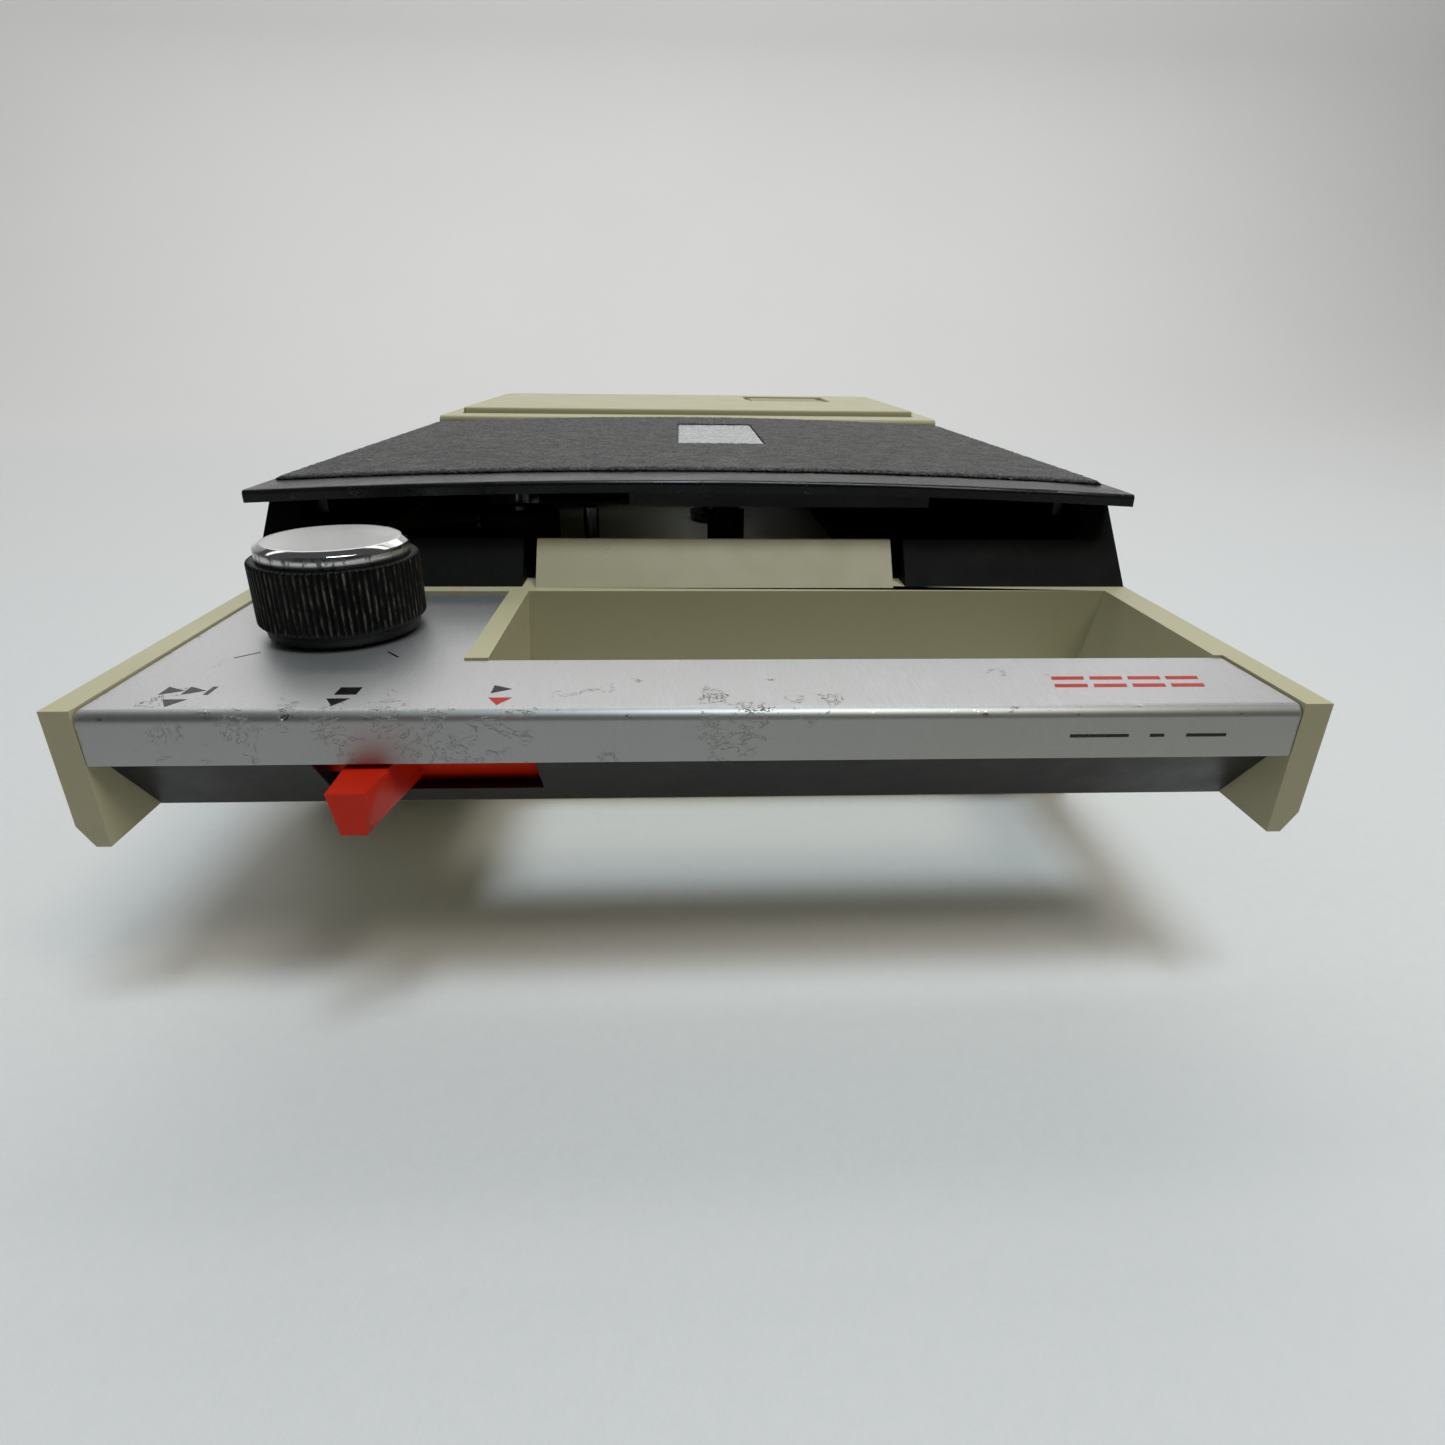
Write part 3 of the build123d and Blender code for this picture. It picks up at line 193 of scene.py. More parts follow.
def plastic(name, colour, roughness, grain=2600, grain_depth=0.012, dust=0.0, scuffs=0.0,
            scatter=0.0, lift=0.0, specular=0.5):
    """Moulded plastic: fine grain, faint mottling, dust on top and light scuffs."""
    g = Graph(name)
    mottle = g.noise(38, 4.0, 0.6, 0.0, None, 1.0 + lift)
    paint = g.mix(g.between(mottle, 0.3, 0.7), shade(colour, 0.93), shade(colour, 1.05))
    fine = g.noise(grain, 2.0, 0.6)
    rough = g.between(g.noise(160, 3.0, 0.6, 0.0, None, 2.0 + lift), 0.25, 0.75,
                      roughness - 0.06, roughness + 0.08)
    if dust:
        settled = g.between(g.facing_up(), 0.2, 0.95)
        specks = g.between(g.noise(900, 3.0, 0.7, 0.0, None, 3.0 + lift), 0.52, 0.72)
        share = g.math("MULTIPLY", g.math("MULTIPLY", settled, specks), dust)
        paint = g.mix(share, paint, (0.42, 0.40, 0.35))
    if scuffs:
        streaks = g.worms(420, 0.016, 0.56, 5.0 + lift)
        paint = g.mix(g.math("MULTIPLY", streaks, scuffs), paint, shade((0.3, 0.29, 0.26), 1.0))
        rough = g.blend(streaks, rough, 0.7)
    normal = g.bump(fine, grain_depth * MM)
    normal = g.bump(g.noise(420, 3.0, 0.5), 0.03 * MM, normal, 0.6)
    values = {"colour": paint, "roughness": rough, "normal": normal, "specular": specular}
    if scatter:
        values["scatter"] = scatter
        values["scatter_scale"] = 0.0008
    return g.finish(**values)


def metal(name, colour, roughness, brush=(900, 60, 60), brush_depth=0.004, stain=0.25, lift=0.0):
    """Sheet or turned metal: directional brushing, stains and small pits."""
    g = Graph(name)
    lines = g.noise(1.0, 3.0, 0.6, 0.0, g.stretch(*brush), 1.0 + lift)
    blotch = g.between(g.noise(70, 4.0, 0.65, 0.5, None, 2.0 + lift), 0.35, 0.75)
    tone = g.mix(lines, shade(colour, 0.88), shade(colour, 1.08))
    tone = g.mix(g.math("MULTIPLY", blotch, stain), tone, shade(colour, 0.45))
    rough = g.blend(blotch, roughness, min(1.0, roughness + 0.18))
    pits = g.between(g.noise(1500, 2.0, 0.7, 0.0, None, 4.0 + lift), 0.62, 0.75)
    normal = g.bump(lines, brush_depth * MM)
    normal = g.bump(pits, -0.01 * MM, normal)
    return g.finish(colour=tone, roughness=rough, metallic=1.0, normal=normal)


def make_ivory(name, lift=0.0):
    """Cream moulded case: satin, faintly yellowed, a little grime in patches."""
    g = Graph(name)
    base = (0.545, 0.510, 0.325)
    yellowed = (0.505, 0.445, 0.245)
    broad = g.between(g.noise(14, 4.0, 0.55, 0.0, None, 1.0 + lift), 0.35, 0.7)
    paint = g.mix(g.math("MULTIPLY", broad, 0.35), base, yellowed)
    grime = g.between(g.noise(240, 5.0, 0.7, 0.6, None, 2.0 + lift), 0.60, 0.78)
    low = g.between(g.facing_up(), 0.9, -0.2)
    paint = g.mix(g.math("MULTIPLY", g.math("MULTIPLY", grime, low), 0.16), paint, (0.20, 0.16, 0.10))
    # painted shade: the faces turned to the handle end are coloured darker, as little light reaches them
    toward = g.node("ShaderNodeSeparateXYZ", {0: g.node("ShaderNodeNewGeometry").outputs["Normal"]}).outputs[1]
    paint = g.mix(g.between(toward, -0.35, -0.9, 0.0, 0.62), paint, (0.250, 0.225, 0.130))
    marks = g.worms(300, 0.010, 0.60, 6.0 + lift)
    paint = g.mix(g.math("MULTIPLY", marks, 0.35), paint, (0.22, 0.19, 0.13))
    rough = g.between(g.noise(120, 3.0, 0.6, 0.0, None, 3.0 + lift), 0.3, 0.7, 0.40, 0.52)
    normal = g.bump(g.noise(3200, 2.0, 0.6), 0.008 * MM)
    normal = g.bump(g.noise(500, 3.0, 0.5), 0.02 * MM, normal, 0.6)
    return g.finish(colour=paint, roughness=rough, normal=normal, scatter=0.12, scatter_scale=0.0012)


def make_plate():
    """Satin aluminium sheet with fine cross brushing, dark wandering scratches and chips."""
    g = Graph("aluminium_plate_mat")
    fine = g.noise(1.0, 3.0, 0.65, 0.0, g.stretch(5200, 240, 240))
    broad = g.noise(1.0, 2.0, 0.5, 0.0, g.stretch(420, 40, 40), 2.0)
    speck = g.noise(4200, 1.0, 0.5, 0.0, None, 9.0)
    tone = g.mix(g.between(fine, 0.3, 0.7), (0.60, 0.605, 0.615), (0.68, 0.685, 0.69))
    tone = g.mix(g.between(broad, 0.25, 0.75), tone, (0.63, 0.635, 0.64))
    tone = g.mix(g.between(speck, 0.60, 0.72, 0.0, 0.4), tone, (0.42, 0.42, 0.42))
    low_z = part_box("control_plate")[1].z
    place = g.node("ShaderNodeSeparateXYZ", {0: g.coords})
    x, y, z = place.outputs
    front_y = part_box("control_plate")[0].y
    # wear gathers by the front bend and between the position marks
    by_bend = g.between(y, front_y + 9 * MM, front_y)
    by_marks = g.math("MULTIPLY", g.between(x, 10 * MM, -20 * MM), 0.02)
    cover = g.math("SUBTRACT", 0.645, g.math("MULTIPLY", by_bend, 0.055))
    cover = g.math("SUBTRACT", cover, by_marks)
    # and in one thick tangle on the front face, left of the middle
    tangle = g.math("ABSOLUTE", g.math("ADD", x, 23 * MM))
    tangle = g.math("MULTIPLY", g.between(tangle, 8 * MM, 4 * MM),
                    g.between(y, front_y + 1.5 * MM, front_y + 0.5 * MM))
    cover = g.math("SUBTRACT", cover, g.math("MULTIPLY", tangle, 0.16))
    line = g.noise(330, 3.0, 0.7, 2.6, g.stretch(0.8, 1.2, 1.2), 1.5)
    line = g.math("ABSOLUTE", g.math("SUBTRACT", line, 0.5))
    line = g.between(line, 0.020, 0.012)
    patch = g.noise(70, 3.0, 0.65, 0.3, None, 4.5)
    patch = g.between(g.math("SUBTRACT", patch, cover), 0.0, 0.012)
    broken = g.between(g.noise(420, 1.0, 0.5, 0.0, None, 7.5), 0.46, 0.49)
    worn = g.math("MULTIPLY", g.math("MULTIPLY", line, patch), broken)
    spots = g.between(g.noise(650, 4.0, 0.75, 0.8, None, 8.5), 0.665, 0.70)
    spots = g.math("MULTIPLY", spots, g.between(patch, 0.0, 0.6, 0.35, 1.0))
    dark = g.math("MAXIMUM", worn, spots)
    tone = g.mix(g.math("MULTIPLY", dark, 0.85), tone, (0.11, 0.098, 0.070))
    # pale rubs, and bright chips along the bend
    rub = g.worms(210, 0.022, 0.55, 12.0)
    tone = g.mix(g.math("MULTIPLY", rub, 0.25), tone, (0.80, 0.80, 0.79))
    edge = g.math("MULTIPLY", g.between(z, low_z - 1.3 * MM, low_z - 0.5 * MM),
                  g.between(y, front_y + 1.3 * MM, front_y + 0.5 * MM))
    chips = g.math("MULTIPLY", edge, g.between(g.noise(380, 4.0, 0.8, 0.0, None, 14.0), 0.58, 0.64))
    tone = g.mix(chips, tone, (0.93, 0.93, 0.92))
    # painted shade: the front face is coloured darker than the top, greyer at the left and yellower at the right
    face = g.between(y, front_y + 0.9 * MM, front_y + 0.2 * MM)
    front_shade_tone = g.mix(g.between(x, -20 * MM, 40 * MM), (0.300, 0.300, 0.285), (0.290, 0.280, 0.235))
    tone = g.mix(g.math("MULTIPLY", face, 0.70), tone, front_shade_tone)
    # brown dirt packed against both cheeks
    side = g.math("ABSOLUTE", x)
    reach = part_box("control_plate")[1].x
    dirt = g.math("ADD", side, g.math("MULTIPLY", g.noise(420, 4.0, 0.7, 0.0, None, 16.0), 1.1 * MM))
    dirt = g.between(dirt, reach + 0.25 * MM, reach + 0.75 * MM)
    tone = g.mix(g.math("MULTIPLY", dirt, 0.75), tone, (0.10, 0.065, 0.02))
    rough = g.blend(fine, 0.46, 0.54)
    rough = g.blend(g.math("MAXIMUM", dark, dirt), rough, 0.75)
    rough = g.blend(chips, rough, 0.22)
    metallic = g.math("SUBTRACT", 1.0, g.math("MULTIPLY", g.math("MAXIMUM", dark, dirt), 0.85))
    normal = g.bump(fine, 0.004 * MM)
    normal = g.bump(dark, -0.02 * MM, normal)
    normal = g.bump(g.noise(160, 2.0), 0.02 * MM, normal, 0.5)
    return g.finish(colour=tone, roughness=rough, metallic=metallic, normal=normal)


def make_spun():
    """Turned aluminium: rings about the knob's axis, a bright bevel and grime on the wall."""
    g = Graph("spun_aluminium_mat")
    low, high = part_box("knob_cap")
    middle = (low + high) / 2
    shifted = g.node(
        "ShaderNodeMapping", {"Vector": g.coords, "Location": (-middle.x, -middle.y, 0.0)}
    ).outputs[0]
    x, y, z = g.node("ShaderNodeSeparateXYZ", {0: shifted}).outputs
    radius = g.math("SQRT", g.math("ADD", g.math("MULTIPLY", x, x), g.math("MULTIPLY", y, y)))
    ring_at = g.node("ShaderNodeCombineXYZ", {0: radius}).outputs[0]
    rings = g.noise(9000, 2.0, 0.8, 0.0, ring_at)
    tone = g.mix(rings, (0.60, 0.605, 0.61), (0.76, 0.76, 0.765))
    on_wall = g.between(z, high.z - 0.55 * MM, high.z - 0.75 * MM)
    flakes = g.between(g.noise(1.0, 4.0, 0.7, 0.6, g.stretch(900, 900, 380), 3.0), 0.50, 0.60)
    grime = g.math("MULTIPLY", on_wall, flakes)
    low_wall = g.between(z, low.z + 1.0 * MM, low.z)
    grime = g.math("MAXIMUM", grime, g.math("MULTIPLY", low_wall, 0.55))
    nicks = g.between(g.noise(700, 3.0, 0.7, 0.0, None, 5.0), 0.70, 0.74)
    tone = g.mix(g.math("MULTIPLY", grime, 0.75), tone, (0.16, 0.14, 0.09))
    tone = g.mix(g.math("MULTIPLY", nicks, 0.7), tone, (0.25, 0.25, 0.25))
    rough = g.blend(rings, 0.20, 0.30)
    rough = g.blend(grime, rough, 0.6)
    bevel = g.math("MULTIPLY", g.between(z, high.z - 0.02 * MM, high.z - 0.08 * MM),
                   g.between(z, high.z - 0.62 * MM, high.z - 0.5 * MM))
    rough = g.blend(bevel, rough, 0.07)
    turned = g.math("SUBTRACT", 0.75, g.math("MULTIPLY", bevel, 0.75))
    tangent = g.node("ShaderNodeTangent", direction_type="RADIAL", axis="Z").outputs[0]
    normal = g.bump(rings, 0.003 * MM)
    return g.finish(colour=tone, roughness=rough, metallic=1.0, normal=normal,
                    anisotropic=turned, tangent=tangent)


def make_knob():
    """Black ribbed plastic: pale dust and rub marks on the crests of the ribs."""
    g = Graph("knob_plastic_mat")
    low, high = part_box("volume_knob")
    middle = (low + high) / 2
    shifted = g.node(
        "ShaderNodeMapping", {"Vector": g.coords, "Location": (-middle.x, -middle.y, 0.0)}
    ).outputs[0]
    x, y, z = g.node("ShaderNodeSeparateXYZ", {0: shifted}).outputs
    radius = g.math("SQRT", g.math("ADD", g.math("MULTIPLY", x, x), g.math("MULTIPLY", y, y)))
    outer = (high.x - low.x) / 2
    crest = g.between(radius, outer - 0.07 * MM, outer - 0.01 * MM)
    dusty = g.between(g.noise(1.0, 4.0, 0.75, 0.0, g.stretch(1500, 1500, 420), 2.0), 0.44, 0.66)
    share = g.math("MULTIPLY", crest, dusty)
    paint = g.mix(g.math("MULTIPLY", share, 0.55), (0.003, 0.003, 0.003), (0.20, 0.18, 0.14))
    rough = g.blend(share, 0.42, 0.75)
    normal = g.bump(g.noise(2400, 3.0, 0.6), 0.015 * MM)
    return g.finish(colour=paint, roughness=rough, normal=normal, specular=0.14)


def make_leather():
    """Black leatherette: tight pebbles over the mesh's own coarser grain."""
    g = Graph("leatherette_mat")
    pebbles = g.cells(1900, "SMOOTH_F1", g.coords)
    crease = g.between(g.cells(1180, "DISTANCE_TO_EDGE"), 0.0, 0.16)
    # painted shade: the creases between the pebbles are coloured darker
    paint = g.mix(crease, (0.005, 0.005, 0.005), (0.027, 0.027, 0.028))
    worn = g.between(g.noise(30, 4.0, 0.6), 0.45, 0.7)
    paint = g.mix(g.math("MULTIPLY", worn, 0.35), paint, (0.060, 0.060, 0.059))
    rough = g.between(g.noise(300, 3.0), 0.3, 0.7, 0.40, 0.52)
    normal = g.bump(pebbles, -0.03 * MM)
    normal = g.bump(crease, 0.09 * MM, normal)
    return g.finish(colour=paint, roughness=rough, normal=normal, specular=0.4)


def make_window():
    """Clear plastic, coloured pale with a faint mottle as painted reflection."""
    g = Graph("clear_window_mat")
    sheen_mottle = g.between(g.noise(220, 4.0, 0.7), 0.35, 0.75)
    # painted reflection: the pale colour stands in for the bright reflection on the window
    tone = g.mix(sheen_mottle, (0.74, 0.75, 0.76), (0.80, 0.80, 0.80))
    rough = g.blend(sheen_mottle, 0.24, 0.34)
    normal = g.bump(g.noise(300, 2.0), 0.002 * MM)
    return g.finish(colour=tone, roughness=rough, normal=normal, transmission=0.55, ior=1.49)


def make_jacket():
    """Battery jacket: two plain colour bands round the cell, scuffed."""
    g = Graph("battery_jacket_mat")
    low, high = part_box("battery_cell_1")
    place = g.node("ShaderNodeSeparateXYZ", {0: g.coords}).outputs
    along = g.math("ABSOLUTE", g.math("SUBTRACT", g.math("ABSOLUTE", place[0]), 25 * MM))
    band = g.between(along, 13.0 * MM, 13.3 * MM)
    tip = g.between(along, 23.6 * MM, 23.9 * MM)
    paint = g.mix(band, (0.05, 0.10, 0.28), (0.58, 0.36, 0.06))
    paint = g.mix(tip, paint, (0.62, 0.62, 0.62))
    scuff = g.worms(260, 0.02, 0.55, 3.0)
    paint = g.mix(g.math("MULTIPLY", scuff, 0.5), paint, (0.5, 0.5, 0.5))
    rough = g.blend(scuff, 0.28, 0.55)
    metallic = g.blend(tip, 0.15, 1.0)
    normal = g.bump(g.noise(300, 3.0), 0.02 * MM)
    return g.finish(colour=paint, roughness=rough, metallic=metallic, normal=normal)


def make_board():
    """Brown phenolic board, with tinned tracks on its underside."""
    g = Graph("board_laminate_mat")
    fibre = g.noise(1.0, 3.0, 0.7, 0.0, g.stretch(160, 2600, 2600))
    paint = g.mix(fibre, (0.20, 0.11, 0.035), (0.34, 0.20, 0.075))
    track = g.cells(150, "DISTANCE_TO_EDGE", None, 0.75)
    track = g.between(track, 0.16, 0.20)
    under = g.between(g.facing_up(), -0.5, -0.9)
    copper = g.math("MULTIPLY", track, under)
    paint = g.mix(copper, paint, (0.62, 0.42, 0.22))
    rough = g.blend(copper, 0.55, 0.3)
    normal = g.bump(copper, 0.04 * MM)
    normal = g.bump(fibre, 0.01 * MM, normal)
    return g.finish(colour=paint, roughness=rough, metallic=copper, normal=normal)


def make_cone():
    """Pressed paper pulp with fibres."""
    g = Graph("paper_cone_mat")
    pulp = g.noise(1400, 5.0, 0.8, 1.2)
    paint = g.mix(pulp, (0.020, 0.018, 0.016), (0.075, 0.068, 0.058))
    return g.finish(colour=paint, roughness=0.92, normal=g.bump(pulp, 0.12 * MM))


def make_rubber(name):
    g = Graph(name)
    bloom = g.between(g.noise(200, 4.0, 0.7), 0.5, 0.8)
    paint = g.mix(g.math("MULTIPLY", bloom, 0.4), (0.012, 0.012, 0.012), (0.07, 0.068, 0.062))
    return g.finish(colour=paint, roughness=g.blend(bloom, 0.62, 0.85),
                    normal=g.bump(g.noise(1800, 3.0), 0.02 * MM))


def make_floor():
    """Pale seamless card with a faint tooth and a few specks."""
    g = Graph("floor_mat")
    tooth = g.noise(520, 4.0, 0.7)
    cloud = g.between(g.noise(3.2, 3.0, 0.5), 0.3, 0.7)
    paint = g.mix(cloud, (0.780, 0.785, 0.790), (0.800, 0.800, 0.798))
    paint = g.mix(g.between(tooth, 0.35, 0.7, 0.0, 0.35), paint, (0.755, 0.760, 0.768))
    grit = g.between(g.cells(26), 0.016, 0.010)
    paint = g.mix(g.math("MULTIPLY", grit, 0.55), paint, (0.16, 0.15, 0.13))
    normal = g.bump(tooth, 0.10 * MM)
    return g.finish(colour=paint, roughness=0.62, normal=normal, specular=0.25)


finishes = {
    "ivory_plastic": make_ivory("ivory_plastic_mat"),
    "black_plastic": plastic("black_plastic_mat", (0.006, 0.006, 0.007), 0.27, dust=0.02, scuffs=0.12, specular=0.30),
    "frame_plastic": plastic("frame_plastic_mat", (0.006, 0.006, 0.006), 0.55, dust=0.01, scuffs=0.02, specular=0.05),
    "leatherette": make_leather(),
    "aluminium_plate": make_plate(),
    "spun_aluminium": make_spun(),
    "dark_panel": plastic("dark_panel_mat", (0.013, 0.013, 0.014), 0.42, dust=0.03, lift=10.0, specular=0.28),
    "red_plastic": plastic("red_plastic_mat", (0.54, 0.017, 0.003), 0.36, lift=20.0, specular=0.2),
    "knob_plastic": make_knob(),
    "deck_paint": plastic("deck_paint_mat", (0.62, 0.62, 0.53), 0.40, dust=0.20, scuffs=0.3, lift=30.0),
    "clear_window": make_window(),
    "steel_sheet": metal("steel_sheet_mat", (0.50, 0.50, 0.51), 0.34, (700, 40, 40)),
    "steel_pin": metal("steel_pin_mat", (0.62, 0.62, 0.63), 0.18, (60, 60, 2400), stain=0.12, lift=10.0),
    "brass_bush": metal("brass_bush_mat", (0.66, 0.49, 0.21), 0.26, (60, 60, 2200), stain=0.3, lift=20.0),
    "black_rubber": make_rubber("black_rubber_mat"),
    "spring_metal": metal("spring_metal_mat", (0.62, 0.55, 0.36), 0.28, (60, 900, 60), stain=0.2, lift=30.0),
    "tray_plastic": plastic("tray_plastic_mat", (0.030, 0.030, 0.030), 0.50, dust=0.15, lift=40.0),
    "battery_jacket": make_jacket(),
    "paper_cone": make_cone(),
    "ferrite": metal("ferrite_mat", (0.10, 0.10, 0.105), 0.55, (300, 300, 300), 0.02, lift=40.0),
    "board_laminate": make_board(),
    "component_plastic": plastic("component_plastic_mat", (0.045, 0.075, 0.16), 0.32, lift=50.0),
    "socket_plastic": plastic("socket_plastic_mat", (0.020, 0.020, 0.020), 0.48, dust=0.1, lift=60.0),
    "head_metal": metal("head_metal_mat", (0.66, 0.66, 0.67), 0.14, (50, 1600, 1600), 0.002, 0.08, 50.0),
    "spindle_plastic": plastic("spindle_plastic_mat", (0.016, 0.016, 0.017), 0.30, dust=0.12, lift=70.0),
}


# ======== CAD nodes that keep their own shape ========

slots = {part["node"]: part["material_slot"] for part in frame["record"]["subparts"]}
edge_rounding = {
    "lower_case": 0.70, "upper_frame": 0.35, "rear_housing": 0.40, "battery_cover": 0.30,
    "lid_frame": 0.35, "front_panel": 0.15, "control_plate": 0.10, "transport_lever": 0.30,
    "lid_window": 0.12, "play_head": 0.25, "motor": 0.3, "speaker_magnet": 0.3,
    "output_transformer": 0.3, "board_components": 0.4, "takeup_spindle": 0.15,
    "supply_spindle": 0.15, "battery_tray": 0.3, "output_socket": 0.15, "supply_socket": 0.15,
}


def round_edges(obj, width, segments=3):
    """Welded, coplanar triangles joined, and every sharp edge rounded with smooth shading."""
    weld = obj.modifiers.new("weld", "WELD")
    weld.merge_threshold = 0.002 * MM
    flat = obj.modifiers.new("planes", "DECIMATE")
    flat.decimate_type = "DISSOLVE"
    flat.angle_limit = math.radians(0.5)
    bevel = obj.modifiers.new("edges", "BEVEL")
    bevel.width = width * MM
    bevel.segments = segments
    bevel.limit_method = "ANGLE"
    bevel.angle_limit = math.radians(32)
    bevel.use_clamp_overlap = True
    bevel.harden_normals = True
    bevel.miter_outer = "MITER_ARC"


# The upper frame is duller than the lid, though both are the same plastic
own_finish = {"upper_frame": "frame_plastic"}
for name, obj in frame["nodes"].items():
    obj.data.materials.clear()
    obj.data.materials.append(finishes[own_finish.get(name, slots[name])])
    round_edges(obj, edge_rounding.get(name, 0.10), 3 if name in edge_rounding else 2)


# ======== pieces ========


def mesh_object(name, verts, faces, body, slot, smooth=True):
    mesh = bpy.data.meshes.new(name)
    mesh.from_pydata(verts, [], faces)
    mesh.validate()
    mesh.materials.append(finishes[slot])
    for face in mesh.polygons:
        face.use_smooth = smooth
    obj = bpy.data.objects.new(name, mesh)
    bpy.context.scene.collection.objects.link(obj)
    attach(obj, body)
    return obj


def turned(name, centre, profile, steps, body, slot, ripple=None):
    """A solid of revolution about an upright axis. profile is (radius, z) from the axis's low end
    to its high end; ripple(angle, radius, z) changes a radius."""
    verts, faces = [], []
    rings = []
    for radius, z in profile:
        if radius < 1e-9:
            rings.append([len(verts)])
            verts.append((centre[0], centre[1], z))
            continue
        ring = []
        for k in range(steps):
            angle = 2 * math.pi * k / steps
            r = ripple(angle, radius, z) if ripple else radius
            ring.append(len(verts))
            verts.append((centre[0] + r * math.cos(angle), centre[1] + r * math.sin(angle), z))
        rings.append(ring)
    for low, high in zip(rings, rings[1:]):
        for k in range(steps):
            n = (k + 1) % steps
            if len(low) == 1:
                faces.append((low[0], high[n], high[k]))
            elif len(high) == 1:
                faces.append((low[k], low[n], high[0]))
            else:
                faces.append((low[k], low[n], high[n], high[k]))
    return mesh_object(name, verts, faces, body, slot)


# Volume knob: fine ribs with rounded crests that run out above the smooth foot
low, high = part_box("volume_knob")
knob_centre = ((low.x + high.x) / 2, (low.y + high.y) / 2)
knob_radius = (high.x - low.x) / 2
knob_ribs = 80
foot_radius = knob_radius - 0.7 * MM
skirt_low = low.z + 1.5 * MM


def knob_ripple(angle, radius, z):
    if radius < foot_radius + 0.05 * MM:
        return radius
    wave = abs(math.sin(angle * knob_ribs / 2))
    depth = 0.30 * MM * min(1.0, (radius - foot_radius) / (0.5 * MM))
    return radius - depth * (1 - wave ** 0.8)


knob_profile = [(0.0, low.z), (foot_radius - 0.5 * MM, low.z), (foot_radius - 0.2 * MM, low.z + 0.15 * MM),
                (foot_radius, skirt_low - 0.25 * MM), (foot_radius + 0.02 * MM, skirt_low - 0.1 * MM)]
knob_profile += [(foot_radius + 0.35 * MM, skirt_low), (knob_radius - 0.12 * MM, skirt_low + 0.12 * MM)]
skirt_steps = 26
for k in range(skirt_steps + 1):
    z = skirt_low + 0.35 * MM + (high.z - skirt_low - 0.6 * MM) * k / skirt_steps
    knob_profile.append((knob_radius, z))
knob_profile += [(knob_radius - 0.08 * MM, high.z - 0.1 * MM), (knob_radius - 0.25 * MM, high.z),
                 (foot_radius, high.z), (0.0, high.z)]
skirt = turned("knob_skirt", knob_centre, knob_profile, knob_ribs * 10, "knob", "knob_plastic", knob_ripple)
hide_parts("volume_knob")

# Cap: upright wall, polished bevel, very slightly dished face
low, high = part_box("knob_cap")
cap_radius = (high.x - low.x) / 2
cap_profile = [(0.0, low.z), (cap_radius - 0.05 * MM, low.z), (cap_radius, low.z + 0.05 * MM),
               (cap_radius, high.z - 0.56 * MM), (cap_radius - 0.04 * MM, high.z - 0.50 * MM),
               (cap_radius - 0.82 * MM, high.z - 0.04 * MM), (cap_radius - 0.90 * MM, high.z)]
for k in range(1, 24):
    share = 1 - k / 24
    radius = (cap_radius - 0.90 * MM) * share
    cap_profile.append((radius, high.z - 0.05 * MM * (1 - share ** 2)))
cap_profile.append((0.0, high.z - 0.05 * MM))
cap = turned("knob_cap_turned", knob_centre, cap_profile, 192, "knob", "spun_aluminium")
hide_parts("knob_cap")

# Leatherette: a dense sheet over the lid's crown, grain pressed into the mesh, edges rolled down
low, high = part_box("lid_panel")
window_low, window_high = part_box("lid_window")
frame_low, frame_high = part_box("lid_frame")


def crown_height(x):
    half = (high.x - low.x) / 2
    rise = 1.7 * MM
    bend = (0.0629 ** 2 + rise ** 2) / (2 * rise)
    return high.z - (bend - math.sqrt(bend ** 2 - min(abs(x), half) ** 2))


# Without a seed, the noise starts from the clock and the grain differs from run to run
noise.seed_set(11)


def grain(x, y):
    p = Vector((x * 1180, y * 1180, 3.0))
    shift = noise.noise_vector(p * 0.35) * 0.55
    d = noise.voronoi(p + shift, distance_metric="DISTANCE")[0]
    ridge = min(1.0, (d[1] - d[0]) * 2.2)
    return ridge


across = np.arange(low.x, high.x + 1e-9, 0.30 * MM)
along = np.arange(low.y, high.y + 1e-9, 0.30 * MM)
across = np.append(across, high.x) if high.x - across[-1] > 0.05 * MM else across
along = np.append(along, high.y) if high.y - along[-1] > 0.05 * MM else along
hole_low = (window_low.x, window_low.y)
hole_high = (window_high.x, window_high.y)
# grid lines snap to the window's edges so the opening is true
for lines, edges in ((across, (hole_low[0], hole_high[0])), (along, (hole_low[1], hole_high[1]))):
    for edge in edges:
        lines[np.abs(lines - edge).argmin()] = edge
thickness = 0.7 * MM
verts, faces, index = [], [], {}
for j, y in enumerate(along):
    for i, x in enumerate(across):
        inside = min(x - low.x, high.x - x, y - low.y, high.y - y)
        roll = max(0.0, 1 - inside / (0.9 * MM))
        z = crown_height(x) - 0.14 * MM + 0.14 * MM * grain(x, y) - 0.45 * MM * roll ** 2
        index[i, j] = len(verts)
        verts.append((x, y, z))
for j in range(len(along) - 1):
    for i in range(len(across) - 1):
        mid_x = (across[i] + across[i + 1]) / 2
        mid_y = (along[j] + along[j + 1]) / 2
        if hole_low[0] < mid_x < hole_high[0] and hole_low[1] < mid_y < hole_high[1]:
            continue
        faces.append((index[i, j], index[i + 1, j], index[i + 1, j + 1], index[i, j + 1]))
covering = mesh_object("lid_covering", verts, faces, "lid", "leatherette")
solid = covering.modifiers.new("thickness", "SOLIDIFY")
solid.thickness = 0.22 * MM
solid.offset = -1
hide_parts("lid_panel")

# Printed marks on the control plate: thin ink shapes just proud of the metal
plate_low, plate_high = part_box("control_plate")


